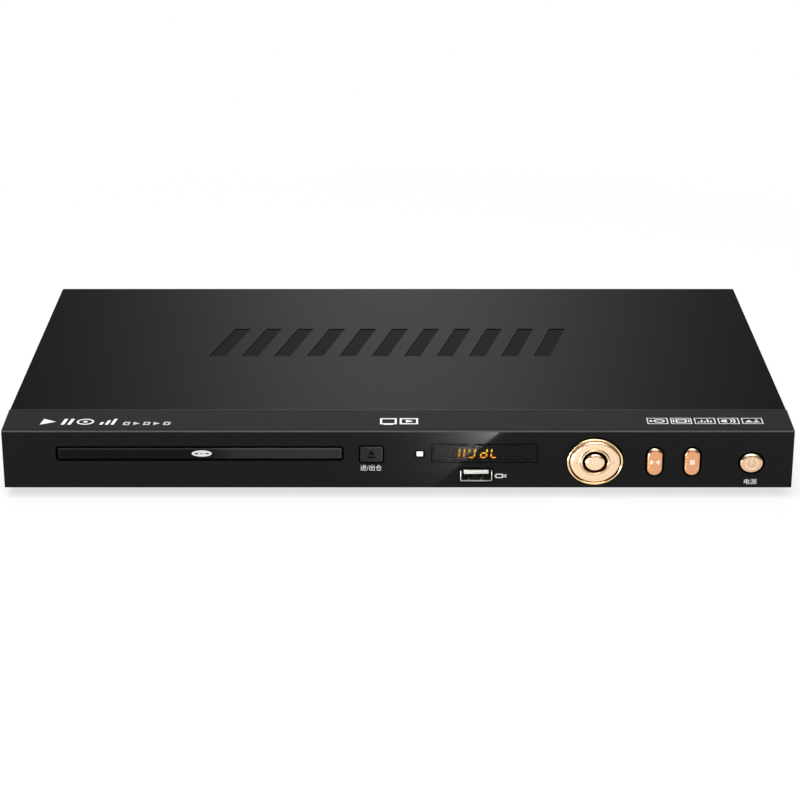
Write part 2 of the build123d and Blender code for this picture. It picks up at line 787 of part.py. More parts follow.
with BuildPart() as board_pillars:
    with BuildSketch(floor_plane(floor_top)):
        with Locations(*board_posts):
            Circle(pillar_radius)
    extrude(amount=post_height)
    with BuildSketch(floor_plane(board_z)):
        with Locations(*board_posts):
            Circle(screw_radius + axle_play)
    extrude(amount=-post_height, mode=Mode.SUBTRACT)
board_pillars.part.label = "board_pillars"
export_step(board_pillars.part, "parts/board_pillars.step")

with BuildPart() as rubber_feet:
    with BuildSketch(floor_plane(0)):
        with Locations(*foot_places):
            Circle(foot_radius - 0.8)
    extrude(amount=foot_height - 0.9, taper=-9)
    with BuildSketch(floor_plane(foot_height - 0.9)):
        with Locations(*foot_places):
            Circle(foot_radius)
    extrude(amount=0.9)
    with BuildSketch(floor_plane(foot_height)):
        with Locations(*foot_places):
            Circle(screw_radius)
    extrude(amount=sheet)
rubber_feet.part.label = "rubber_feet"
export_step(rubber_feet.part, "parts/rubber_feet.step")

jack_places = [(jack_first_x + jack_pitch * number, board_top + jack_axis) for number in range(jack_count)]
jack_screws = [(jack_first_x + jack_pitch * number, board_top + 12.5) for number in (0.5, jack_count - 1.5)]
inlet_z = board_top + inlet_height / 2 + 0.3
video_z = board_top + video_height / 2 + 0.6
panel_half = floor_half - sheet - fit_gap
panel_high = roof_z - sheet - fit_gap

with BuildPart() as rear_panel:
    with BuildSketch(Plane.XZ.offset(-panel_y)):
        with Locations((0, (floor_z + panel_high) / 2)):
            Rectangle(2 * panel_half, panel_high - floor_z)
        with Locations(*jack_places):
            Circle(collar_radius + fit_gap, mode=Mode.SUBTRACT)
        with Locations((video_x, video_z)):
            Rectangle(video_width + 2 * fit_gap, video_height + 2 * fit_gap, mode=Mode.SUBTRACT)
        with Locations((inlet_x, inlet_z)):
            Rectangle(inlet_width + 2 * fit_gap, inlet_height + 2 * fit_gap, mode=Mode.SUBTRACT)
        with Locations((loader_x - 5.75, floor_z + 13.0)):
            with GridLocations(11.0, 7.0, 8, 2):
                SlotOverall(8.0, 2.4, mode=Mode.SUBTRACT)
        with Locations(*[(x, screw_line) for x in cover_screw_x]):
            Circle(screw_radius, mode=Mode.SUBTRACT)
        with Locations(*jack_screws):
            Circle(screw_radius, mode=Mode.SUBTRACT)
    extrude(amount=sheet)
    block(
        (-panel_half + 6, panel_half - 6),
        (floor_rear - panel_flange, floor_rear + 0.1),
        (floor_top, floor_top + sheet),
    )
    with BuildSketch(floor_plane(floor_top)):
        with Locations(*[(x, floor_rear - panel_flange / 2) for x in panel_screw_x]):
            Circle(screw_radius)
    extrude(amount=sheet, mode=Mode.SUBTRACT)
rear_panel.part.label = "rear_panel"
export_step(rear_panel.part, "parts/rear_panel.step")

# Boards and sockets

with BuildPart() as main_board:
    block(main_board_x, main_board_depth, (board_z, board_top))
    with BuildSketch(floor_plane(board_z)):
        with Locations(*board_posts[:4]):
            Circle(screw_radius + fit_gap)
        with Locations((main_board_x[0] + 3, board_rear - 3)):
            Rectangle(10.0, 12.0)
    extrude(amount=circuit_thick, mode=Mode.SUBTRACT)
main_board.part.label = "main_board"
export_step(main_board.part, "parts/main_board.step")

with BuildPart() as power_board:
    block(power_board_x, power_board_depth, (board_z, board_top))
    with BuildSketch(floor_plane(board_z)):
        with Locations(*board_posts[4:]):
            Circle(screw_radius + fit_gap)
        with Locations((sum(power_board_x) / 2, sum(power_board_depth) / 2 - 4)):
            SlotOverall(26.0, 2.0)
    extrude(amount=circuit_thick, mode=Mode.SUBTRACT)
power_board.part.label = "power_board"
export_step(power_board.part, "parts/power_board.step")

with BuildPart() as jack_block:
    jack_left = jack_first_x - jack_pitch / 2
    block(
        (jack_left, jack_left + jack_pitch * jack_count),
        (board_rear - jack_depth, board_rear),
        (board_top, board_top + 2 * jack_axis - 0.6),
    )
    chamfer(jack_block.edges().filter_by(Axis.X).group_by(Axis.Z)[-1].sort_by(Axis.Y)[0], 3.0)
    with BuildSketch(front_plane(board_rear)):
        with Locations(*jack_places):
            Circle(collar_radius)
    extrude(amount=-(cabinet_depth - panel_recess - board_rear + collar_stand))
    with BuildSketch(front_plane(cabinet_depth - panel_recess + collar_stand)):
        with Locations(*jack_places):
            Circle(barrel_neck)
        with Locations(*jack_screws):
            Circle(screw_radius)
    extrude(amount=jack_seat, mode=Mode.SUBTRACT)
jack_block.part.label = "jack_block"
export_step(jack_block.part, "parts/jack_block.step")

with BuildPart() as jack_barrels:
    with BuildSketch(front_plane(cabinet_depth + jack_reach)):
        with Locations(*jack_places):
            Circle(barrel_radius)
    extrude(amount=jack_reach + panel_recess - collar_stand)
    with BuildSketch(front_plane(cabinet_depth - panel_recess + collar_stand)):
        with Locations(*jack_places):
            Circle(barrel_neck)
    extrude(amount=jack_seat)
    with BuildSketch(front_plane(cabinet_depth + jack_reach)):
        with Locations(*jack_places):
            Circle(barrel_radius - barrel_skin)
    extrude(amount=jack_reach + panel_recess - collar_stand + jack_seat, mode=Mode.SUBTRACT)
jack_barrels.part.label = "jack_barrels"
export_step(jack_barrels.part, "parts/jack_barrels.step")

with BuildPart() as jack_inserts:
    with BuildSketch(front_plane(cabinet_depth + jack_reach - 0.5)):
        with Locations(*jack_places):
            Circle(barrel_radius - barrel_skin)
    extrude(amount=jack_reach + panel_recess - collar_stand - 0.5 + jack_seat)
    with BuildSketch(front_plane(cabinet_depth + jack_reach - 0.5)):
        with Locations(*jack_places):
            Circle(1.65)
    extrude(amount=jack_reach + 2, mode=Mode.SUBTRACT)
jack_inserts.part.label = "jack_inserts"
export_step(jack_inserts.part, "parts/jack_inserts.step")

with BuildPart() as video_socket:
    with BuildSketch(front_plane(cabinet_depth - panel_recess + 0.3)):
        with BuildLine():
            Polyline(
                (video_x - video_width / 2, video_z + video_height / 2),
                (video_x + video_width / 2, video_z + video_height / 2),
                (video_x + video_width / 2, video_z - video_height / 2 + 2.4),
                (video_x + video_width / 2 - 2.2, video_z - video_height / 2),
                (video_x - video_width / 2 + 2.2, video_z - video_height / 2),
                (video_x - video_width / 2, video_z - video_height / 2 + 2.4),
                close=True,
            )
        make_face()
    extrude(amount=11.0)
    offset(amount=-usb_skin, openings=video_socket.faces().sort_by(Axis.Y)[-1])
    block(
        (video_x - 5.6, video_x + 5.6),
        (cabinet_depth - panel_recess - 10.5, cabinet_depth - panel_recess - 0.6),
        (video_z - 0.1, video_z + 1.0),
    )
    block(
        (video_x - 6.5, video_x + 6.5),
        (board_rear - 8.5, board_rear - 1),
        (board_top, video_z - video_height / 2),
    )
video_socket.part.label = "video_socket"
export_step(video_socket.part, "parts/video_socket.step")

with BuildPart() as mains_inlet:
    block(
        (inlet_x - inlet_width / 2, inlet_x + inlet_width / 2),
        (cabinet_depth - inlet_depth, cabinet_depth - panel_recess + 0.5),
        (inlet_z - inlet_height / 2, inlet_z + inlet_height / 2),
    )
    fillet(mains_inlet.edges().filter_by(Axis.Y), 1.2)
    with BuildSketch(front_plane(cabinet_depth)):
        with Locations((inlet_x, inlet_z)):
            SlotOverall(inlet_pin_x * 2 + 8.0, 8.0)
    extrude(amount=13.5, mode=Mode.SUBTRACT)
    with BuildSketch(front_plane(cabinet_depth)):
        with Locations(*[(inlet_x + side * inlet_pin_x, inlet_z) for side in (-1, 1)]):
            Circle(inlet_pin_radius)
    extrude(amount=inlet_depth, mode=Mode.SUBTRACT)
mains_inlet.part.label = "mains_inlet"
export_step(mains_inlet.part, "parts/mains_inlet.step")

with BuildPart() as mains_pins:
    with BuildSketch(front_plane(cabinet_depth - panel_recess - 3.0)):
        with Locations(*[(inlet_x + side * inlet_pin_x, inlet_z) for side in (-1, 1)]):
            Circle(inlet_pin_radius)
    extrude(amount=inlet_depth - panel_recess)
    chamfer(mains_pins.edges().group_by(Axis.Y)[-1], 0.6)
mains_pins.part.label = "mains_pins"
export_step(mains_pins.part, "parts/mains_pins.step")

decoder_place = (main_left + 58.0, board_rear - 48.0)
with BuildPart() as board_chips:
    chip_levels = (board_top, board_top + chip_thick)
    for (x, depth), (width, length) in (
        (decoder_place, (20.0, 20.0)),
        ((decoder_place[0] + 28, decoder_place[1] - 2), (20.0, 9.0)),
        ((decoder_place[0] - 27, decoder_place[1] + 6), (9.0, 9.0)),
        ((decoder_place[0] + 26, decoder_place[1] + 18), (8.0, 6.0)),
    ):
        block((x - width / 2, x + width / 2), (depth - length / 2, depth + length / 2), chip_levels)
    board_front = main_board_depth[0] + 1.0
    block((main_left + 28, main_left + 46), (board_front, board_front + 5), (board_top, board_top + 5.5))
    block((main_left + 86, main_left + 106), (board_front, board_front + 7), (board_top, board_top + 7.0))
board_chips.part.label = "board_chips"
export_step(board_chips.part, "parts/board_chips.step")

with BuildPart() as heatsink:
    x, depth = decoder_place
    base_top = board_top + chip_thick + 2.0
    block((x - 12, x + 12), (depth - 12, depth + 12), (board_top + chip_thick, base_top))
    with BuildSketch(floor_plane(base_top)):
        with Locations((x, depth)):
            with GridLocations(3.6, 0, 7, 1):
                Rectangle(1.2, 24.0)
    extrude(amount=6.0)
heatsink.part.label = "heatsink"
export_step(heatsink.part, "parts/heatsink.step")

with BuildPart() as board_capacitors:
    with BuildSketch(floor_plane(board_top)):
        with Locations(
            (main_left + 110, board_rear - 44),
            (main_left + 110, board_rear - 56),
            (main_left + 22, board_rear - 68),
        ):
            Circle(3.2)
        with Locations((main_left + 96, board_rear - 64)):
            Circle(2.5)
    extrude(amount=8.0)
    with BuildSketch(floor_plane(board_top)):
        with Locations((power_left + 12, board_rear - 62)):
            Circle(8.0)
    extrude(amount=16.5)
    with BuildSketch(floor_plane(board_top)):
        with Locations(
            (power_left + 10, board_rear - 96),
            (power_left + 22, board_rear - 96),
            (power_left + 34, board_rear - 98),
        ):
            Circle(4.5)
    extrude(amount=13.0)
board_capacitors.part.label = "board_capacitors"
export_step(board_capacitors.part, "parts/board_capacitors.step")

with BuildPart() as transformer:
    x, depth = power_left + 40.0, board_rear - 62.0
    with BuildSketch(floor_plane(board_top)):
        with Locations((x, depth)):
            Rectangle(18.0, 20.0)
    extrude(amount=3.0)
    with BuildSketch(floor_plane(board_top + 3)):
        with Locations((x, depth)):
            RectangleRounded(20.0, 14.0, 4.0)
    extrude(amount=9.0)
    block((x - 10.5, x + 10.5), (depth - 3.0, depth + 3.0), (board_top + 2.0, board_top + 16.0))
    block((x - 9.0, x + 9.0), (depth - 10.0, depth + 10.0), (board_top + 12, board_top + 13.5))
transformer.part.label = "transformer"
export_step(transformer.part, "parts/transformer.step")

with BuildPart() as power_parts:
    for left, width, front, length, height in (
        (18, 4, -44, 14, 15),
        (28, 20, -38, 10, 12),
        (2, 12, -44, 10, 10),
        (10, 24, -111, 7, 7),
    ):
        block(
            (power_left + left, power_left + left + width),
            (board_rear + front, board_rear + front + length),
            (board_top, board_top + height),
        )
    with BuildSketch(front_plane(board_rear - 84.0)):
        with Locations((power_left + 48, board_top + fuse_radius)):
            Circle(fuse_radius)
    extrude(amount=14.0)
power_parts.part.label = "power_parts"
export_step(power_parts.part, "parts/power_parts.step")

with BuildPart() as ribbon_cable:
    cable_front = board_depth + board_thick + 5.0
    cable_z = floor_z + 15.0
    cable_low = floor_top + 2.6
    with BuildSketch(Plane.YZ.offset(main_left + 29.0)):
        with BuildLine():
            FilletPolyline(
                (front_y + cable_front, cable_z),
                (front_y + cable_front + 6.0, cable_z),
                (front_y + cable_front + 12.0, cable_low),
                (front_y + main_board_depth[0] - 12.0, cable_low),
                (front_y + main_board_depth[0] - 6.0, board_top + 3.5),
                (front_y + main_board_depth[0] + 1.0, board_top + 3.5),
                radius=3.0,
            )
        trace(line_width=0.4)
    extrude(amount=16.0)
    block(
        (main_left + 28.5, main_left + 45.5),
        (board_depth + board_thick, cable_front),
        (cable_z - 2.5, cable_z + 2.5),
    )
ribbon_cable.part.label = "ribbon_cable"
export_step(ribbon_cable.part, "parts/ribbon_cable.step")

# Loader

frame_half = tray_width / 2 + tray_gap + frame_wall
frame_low = floor_top + 0.1
frame_floor_top = frame_low + frame_floor_thick
wall_top = bridge_low
ledge_top = tray_bottom - slide_gap
gear_x = tray_width / 2 - module_rack + drive_teeth * module_rack / 2
axle_distance = (wheel_teeth + pinion_teeth) * module_wheel / 2
pulley_x = gear_x - axle_distance * cos(radians(pulley_bearing))
pulley_depth = gear_depth - axle_distance * sin(radians(pulley_bearing))
wheel_tip = wheel_teeth * module_wheel / 2 + module_wheel
drive_tip = drive_teeth * module_rack / 2 + module_rack
ear_x = 47.0
ear_thick = 4.0
rear_wall_top = tray_bottom - 1.9


def loader_block(x_span, depth_span, z_span, mode=Mode.ADD):
    block((loader_x + x_span[0], loader_x + x_span[1]), depth_span, z_span, mode)


with BuildPart() as loader_frame:
    with BuildSketch(loader_plane(frame_low)):
        with Locations((0, (frame_front + frame_end) / 2)):
            Rectangle(2 * frame_half, frame_end - frame_front)
            Rectangle(
                2 * (frame_half - frame_wall), frame_end - frame_front - 2 * frame_wall, mode=Mode.SUBTRACT
            )
    extrude(amount=wall_top - frame_low)
    inner = frame_half - frame_wall
    loader_block((-inner, inner), (0, frame_front + frame_wall), (frame_low + 4, wall_top), Mode.SUBTRACT)
    rear_wall = (frame_end - frame_wall, frame_end)
    loader_block((-inner, inner), rear_wall, (rear_wall_top, wall_top), Mode.SUBTRACT)
    loader_block((-frame_half, frame_half), (frame_front, frame_floor_end), (frame_low, frame_floor_top))
    with BuildSketch(loader_plane(frame_low)):
        with Locations((gear_x, gear_depth)):
            Circle(wheel_tip - 2)
    extrude(amount=frame_floor_thick)
    loader_block(
        (-frame_half, frame_half),
        (0, fascia_return + fit_gap),
        (frame_low, frame_floor_top + 0.1),
        Mode.SUBTRACT,
    )
    for side in (-1, 1):
        spans = sorted((side * (inner - ledge_width), side * inner))
        loader_block(spans, (frame_front, frame_end), (ledge_top - ledge_thick, ledge_top))
        hook = sorted((side * (inner - hook_reach), side * inner))
        for depth in (48.0, 152.0):
            loader_block(hook, (depth - 4, depth + 4), (tray_top + slide_gap, wall_top))
        ear = sorted((side * ear_x, side * (ear_x + ear_thick)))
        loader_block(ear, (pivot_depth - 5, frame_end - 1), (frame_low, rear_wall_top))
    loader_block((-58.0, 50.0), (cam_front - 0.8, cam_front - 0.2), (frame_floor_top, frame_floor_top + 3.2))
    loader_block(
        (-58.0, 50.0),
        (cam_front + cam_thick + 0.2, cam_front + cam_thick + 1.0),
        (frame_floor_top, frame_floor_top + 0.6),
    )
    with BuildSketch(loader_plane(floor_top)):
        with Locations(*loader_feet):
            Circle(boss_radius)
    extrude(amount=8.2)
    with BuildSketch(loader_plane(frame_floor_top)):
        with Locations((motor_x, motor_depth)):
            Circle(motor_radius + 1.7)
            Circle(motor_radius + fit_gap, mode=Mode.SUBTRACT)
    extrude(amount=3.0)
    with BuildSketch(loader_plane(frame_low)):
        with Locations((gear_x, gear_depth), (pulley_x, pulley_depth)):
            Circle(axle_radius + 1.5)
    extrude(amount=frame_floor_thick + 0.4)
    with BuildSketch(loader_plane(floor_top)):
        with Locations(*loader_feet):
            Circle(screw_radius + axle_play)
    extrude(amount=8.2, mode=Mode.SUBTRACT)
    with BuildSketch(loader_plane(frame_low)):
        with Locations((gear_x, gear_depth), (pulley_x, pulley_depth)):
            Circle(axle_radius)
    extrude(amount=frame_floor_thick + 0.4, mode=Mode.SUBTRACT)
    reach = wheel_tip - 0.6
    loader_block(
        (inner - 0.1, frame_half + 0.1),
        (gear_depth - reach, gear_depth + reach),
        (wheel_low - 0.5, wheel_high + 0.6),
        Mode.SUBTRACT,
    )
    loader_block(
        (inner - 0.1, frame_half + 0.1),
        (gear_depth - drive_tip - 0.6, gear_depth + drive_tip + 0.6),
        (wheel_high, wall_top),
        Mode.SUBTRACT,
    )
    loader_block(
        (inner - ledge_width - 0.1, inner),
        (pulley_depth - pulley_radius - pulley_rim - 0.6, gear_depth + drive_tip + 0.6),
        (ledge_top - ledge_thick, ledge_top),
        Mode.SUBTRACT,
    )
    with BuildSketch(Plane.YZ.offset(loader_x)):
        with Locations((front_y + pivot_depth, pivot_z)):
            Circle(trunnion_radius + trunnion_play)
    extrude(amount=ear_x + ear_thick, both=True, mode=Mode.SUBTRACT)
loader_frame.part.label = "loader_frame"
export_step(loader_frame.part, "parts/loader_frame.step")

ring_top = bridge_low + bridge_thick + 0.6
clamper_flange = ring_top + slide_gap
with BuildPart() as clamp_bridge:
    with BuildSketch(loader_plane(bridge_low)):
        with Locations((0, disc_depth)):
            Rectangle(2 * frame_half, bridge_width)
    extrude(amount=bridge_thick)
    with BuildSketch(loader_plane(bridge_low)):
        with Locations((0, disc_depth)):
            Circle(clamper_radius + 2.8)
    extrude(amount=ring_top - bridge_low)
    for side in (-1, 1):
        edge = disc_depth + side * (bridge_width / 2 - 0.6)
        loader_block((-frame_half, frame_half), (edge - 0.6, edge + 0.6), (bridge_low, bridge_low + 4.4))
        wing = sorted((side * (frame_half + 0.1), side * (frame_half + 1.5)))
        loader_block(wing, (disc_depth - 12, disc_depth + 12), (bridge_low - 5, bridge_low + bridge_thick))
        wing = sorted((side * (frame_half - 1), side * (frame_half + 1.5)))
        loader_block(wing, (disc_depth - 12, disc_depth + 12), (bridge_low, bridge_low + bridge_thick))
    with BuildSketch(loader_plane(bridge_low)):
        with Locations((0, disc_depth)):
            Circle(clamper_radius + 0.8)
        with Locations((-40, disc_depth), (40, disc_depth)):
            RectangleRounded(28.0, 20.0, 3.0)
    extrude(amount=ring_top - bridge_low, mode=Mode.SUBTRACT)
clamp_bridge.part.label = "clamp_bridge"
export_step(clamp_bridge.part, "parts/clamp_bridge.step")

with BuildPart() as clamper:
    with BuildSketch(loader_plane(clamper_low)):
        with Locations((0, disc_depth)):
            Circle(clamper_radius)
    extrude(amount=clamper_flange - clamper_low)
    with BuildSketch(loader_plane(clamper_flange)):
        with Locations((0, disc_depth)):
            Circle(clamper_radius + 4)
    extrude(amount=1.0)
    with BuildSketch(loader_plane(clamper_low)):
        with Locations((0, disc_depth)):
            Circle(hub_radius + 0.9)
    extrude(amount=hub_height + 1.2, mode=Mode.SUBTRACT)
clamper.part.label = "clamper"
export_step(clamper.part, "parts/clamper.step")

with BuildPart() as clamper_plate:
    with BuildSketch(loader_plane(clamper_flange + 1.0)):
        with Locations((0, disc_depth)):
            Circle(9.0)
            Circle(2.0, mode=Mode.SUBTRACT)
    extrude(amount=0.9)
clamper_plate.part.label = "clamper_plate"
export_step(clamper_plate.part, "parts/clamper_plate.step")

tooth_pitch = pi * module_rack
slant = tan(radians(pressure_angle))
gap_half = tooth_pitch / 4 + tooth_play / 2
rack_line = tray_width / 2 - module_rack
rack_gaps = range(-3, int((tray_arm_end - gear_depth - 2) / tooth_pitch))
finger_angle = radians(35)
finger_spots = [
    (side * disc_radius * sin(finger_angle), disc_depth - disc_radius * cos(finger_angle)) for side in (-1, 1)
]

with BuildPart() as disc_tray:
    with BuildSketch(loader_plane(tray_bottom)):
        with Locations((0, (door_thick + tray_arm_end) / 2)):
            Rectangle(tray_width, tray_arm_end - door_thick)
        with Locations((0, (tray_plate_end + tray_arm_end) / 2)):
            Rectangle(tray_width - 2 * tray_arm, tray_arm_end - tray_plate_end, mode=Mode.SUBTRACT)
        with Locations((0, disc_depth)):
            Circle(tray_window / 2, mode=Mode.SUBTRACT)
        with Locations((0, (disc_depth + tray_plate_end) / 2)):
            Rectangle(tray_window, tray_plate_end - disc_depth, mode=Mode.SUBTRACT)
    extrude(amount=tray_top - tray_bottom)
    with BuildSketch(loader_plane(tray_top)):
        with Locations((0, disc_depth)):
            Circle(disc_radius + disc_play)
    extrude(amount=disc_floor - tray_top, mode=Mode.SUBTRACT)
    with BuildSketch(loader_plane(tray_top)):
        with Locations((0, disc_depth)):
            Circle(small_disc_radius + disc_play)
        with Locations(*finger_spots):
            Circle(10.0)
    extrude(amount=small_disc_floor - tray_top, mode=Mode.SUBTRACT)
    with BuildSketch(loader_plane(tray_bottom)):
        for number in rack_gaps:
            middle = gear_depth + tooth_pitch * number
            root = gap_half - 1.25 * module_rack * slant
            tip = gap_half + 1.1 * module_rack * slant
            with BuildLine():
                Polyline(
                    (rack_line - 1.25 * module_rack, middle - root),
                    (rack_line + 1.1 * module_rack, middle - tip),
                    (rack_line + 1.1 * module_rack, middle + tip),
                    (rack_line - 1.25 * module_rack, middle + root),
                    close=True,
                )
            make_face()
    extrude(amount=tray_top - tray_bottom, mode=Mode.SUBTRACT)
disc_tray.part.label = "disc_tray"
export_step(disc_tray.part, "parts/disc_tray.step")

with BuildPart() as tray_door:
    with BuildSketch(front_plane(0)):
        with Locations((loader_x, door_z)):
            Rectangle(door_width, door_height)
    extrude(amount=-door_thick)
    chamfer(tray_door.faces().sort_by(Axis.Y)[0].edges(), 0.45)
tray_door.part.label = "tray_door"
export_step(tray_door.part, "parts/tray_door.step")

with BuildPart() as tray_motor:
    with BuildSketch(loader_plane(frame_floor_top)):
        with Locations((motor_x, motor_depth)):
            Circle(motor_radius)
    extrude(amount=7.2)
    chamfer(tray_motor.edges().group_by(Axis.Z)[-1], 0.8)
    with BuildSketch(loader_plane(frame_floor_top + 7.2)):
        with Locations((motor_x, motor_depth)):
            Circle(3.1)
    extrude(amount=0.6)
    with BuildSketch(loader_plane(frame_floor_top + 7.2)):
        with Locations((motor_x, motor_depth)):
            Circle(spindle_radius)
    extrude(amount=pulley_high - frame_floor_top - 7.4)
tray_motor.part.label = "tray_motor"
export_step(tray_motor.part, "parts/tray_motor.step")

with BuildPart() as motor_pulley:
    with BuildSketch(loader_plane(pulley_low)):
        with Locations((motor_x, motor_depth)):
            Circle(motor_pulley_radius)
    extrude(amount=pulley_high - pulley_low)
    for level in (pulley_low, pulley_high - 0.6):
        with BuildSketch(loader_plane(level)):
            with Locations((motor_x, motor_depth)):
                Circle(motor_pulley_radius + pulley_rim)
        extrude(amount=0.6)
    with BuildSketch(loader_plane(pulley_low)):
        with Locations((motor_x, motor_depth)):
            Circle(spindle_radius + axle_play)
    extrude(amount=pulley_high - pulley_low, mode=Mode.SUBTRACT)
motor_pulley.part.label = "motor_pulley"
export_step(motor_pulley.part, "parts/motor_pulley.step")

pinion_low = wheel_low - 0.2
pinion_turn = pulley_bearing + 180 / pinion_teeth
pinion_points = gear_outline(pinion_teeth, module_wheel, pinion_turn, (pulley_x, pulley_depth))
with BuildPart() as belt_pulley:
    with BuildSketch(loader_plane(pinion_low)):
        with BuildLine():
            Polyline(*pinion_points, close=True)
        make_face()
    extrude(amount=pulley_low - pinion_low)
    with BuildSketch(loader_plane(pulley_low)):
        with Locations((pulley_x, pulley_depth)):
            Circle(pulley_radius)
    extrude(amount=pulley_high - pulley_low)
    for level in (pulley_low, pulley_high - 0.6):
        with BuildSketch(loader_plane(level)):
            with Locations((pulley_x, pulley_depth)):
                Circle(pulley_radius + pulley_rim)
        extrude(amount=0.6)
    with BuildSketch(loader_plane(frame_floor_top + 0.6)):
        with Locations((pulley_x, pulley_depth)):
            Circle(axle_radius + 1.2)
    extrude(amount=pinion_low - frame_floor_top - 0.6)
    with BuildSketch(loader_plane(frame_floor_top)):
        with Locations((pulley_x, pulley_depth)):
            Circle(axle_radius + axle_play)
    extrude(amount=pulley_high - frame_floor_top, mode=Mode.SUBTRACT)
belt_pulley.part.label = "belt_pulley"
export_step(belt_pulley.part, "parts/belt_pulley.step")

wheel_points = gear_outline(wheel_teeth, module_wheel, 180 + pulley_bearing, (gear_x, gear_depth))
drive_points = gear_outline(drive_teeth, module_rack, 180, (gear_x, gear_depth))
with BuildPart() as tray_gear:
    with BuildSketch(loader_plane(wheel_low)):
        with BuildLine():
            Polyline(*wheel_points, close=True)
        make_face()
    extrude(amount=wheel_high - wheel_low)
    with BuildSketch(loader_plane(tray_bottom + 0.2)):
        with BuildLine():
            Polyline(*drive_points, close=True)
        make_face()
    extrude(amount=tray_top - tray_bottom - 0.4)
    with BuildSketch(loader_plane(frame_floor_top + 0.6)):
        with Locations((gear_x, gear_depth)):
            Circle(gear_hub)
    extrude(amount=tray_bottom + 0.2 - frame_floor_top - 0.6)
    for level in (wheel_low, wheel_high):
        with BuildSketch(loader_plane(level)):
            with Locations((gear_x, gear_depth)):
                Circle(wheel_tip - 3.6)
                Circle(6.4, mode=Mode.SUBTRACT)
        extrude(amount=0.7, both=True, mode=Mode.SUBTRACT)
    with BuildSketch(loader_plane(frame_floor_top)):
        with Locations((gear_x, gear_depth)):
            Circle(axle_radius + axle_play)
    extrude(amount=tray_top - frame_floor_top, mode=Mode.SUBTRACT)
tray_gear.part.label = "tray_gear"
export_step(tray_gear.part, "parts/tray_gear.step")

with BuildPart() as gear_pins:
    for place, top in (((gear_x, gear_depth), tray_top + 0.4), ((pulley_x, pulley_depth), tray_bottom - 0.4)):
        with BuildSketch(loader_plane(frame_low)):
            with Locations(place):
                Circle(axle_radius)
        extrude(amount=top - frame_low)
gear_pins.part.label = "gear_pins"
export_step(gear_pins.part, "parts/gear_pins.step")

belt_low = (pulley_low + pulley_high - belt_thick) / 2
belt_play = 0.08
with BuildPart() as drive_belt:
    for extra, way in ((belt_play + belt_thick, Mode.ADD), (belt_play, Mode.SUBTRACT)):
        with BuildSketch(loader_plane(belt_low)):
            with Locations((pulley_x, pulley_depth)):
                Circle(pulley_radius + extra)
            with Locations((motor_x, motor_depth)):
                Circle(motor_pulley_radius + extra)
            make_hull()
        extrude(amount=belt_thick, mode=way)
drive_belt.part.label = "drive_belt"
export_step(drive_belt.part, "parts/drive_belt.step")

# Deck with the spindle and the pickup, lowered

pin_reach = pivot_depth - cam_front - cam_thick / 2
pin_low_z = pivot_z + (cam_pin_level - pivot_z) * cos(drop) - pin_reach * sin(drop)
slot_rise = cam_pin_level - pin_low_z
slot_run = (cam_travel**2 + slot_rise**2) ** 0.5
slot_angle = degrees(acos(cam_travel / slot_run))
cam_low = frame_floor_top + 0.1
cam_high = tray_bottom - 0.4

with BuildPart() as lift_cam:
    loader_block(cam_reach, (cam_front, cam_front + cam_thick), (cam_low, cam_high))
    chamfer(lift_cam.edges().filter_by(Axis.Y).group_by(Axis.Z)[-1], 4.0)
    with BuildSketch(front_plane(cam_front)):
        with Locations(
            *[
                (loader_x + x + cam_travel / 2, (pin_low_z + cam_pin_level) / 2)
                for x in cam_pin_x
            ]
        ):
            SlotCenterToCenter(slot_run, 2 * (cam_pin_radius + cam_pin_play), rotation=slot_angle)
    extrude(amount=-cam_thick, mode=Mode.SUBTRACT)
lift_cam.part.label = "lift_cam"
export_step(lift_cam.part, "parts/lift_cam.step")

seat_low = rod_level - rod_radius - 0.5
seat_front = (rod_front - 0.5, rod_front + 4.5)
seat_end = (rod_end - 4.5, rod_end + 0.5)
opening = (seat_front[1] + 0.5, seat_end[0] - 0.5)
sled_front = seat_end[0] + 2.5

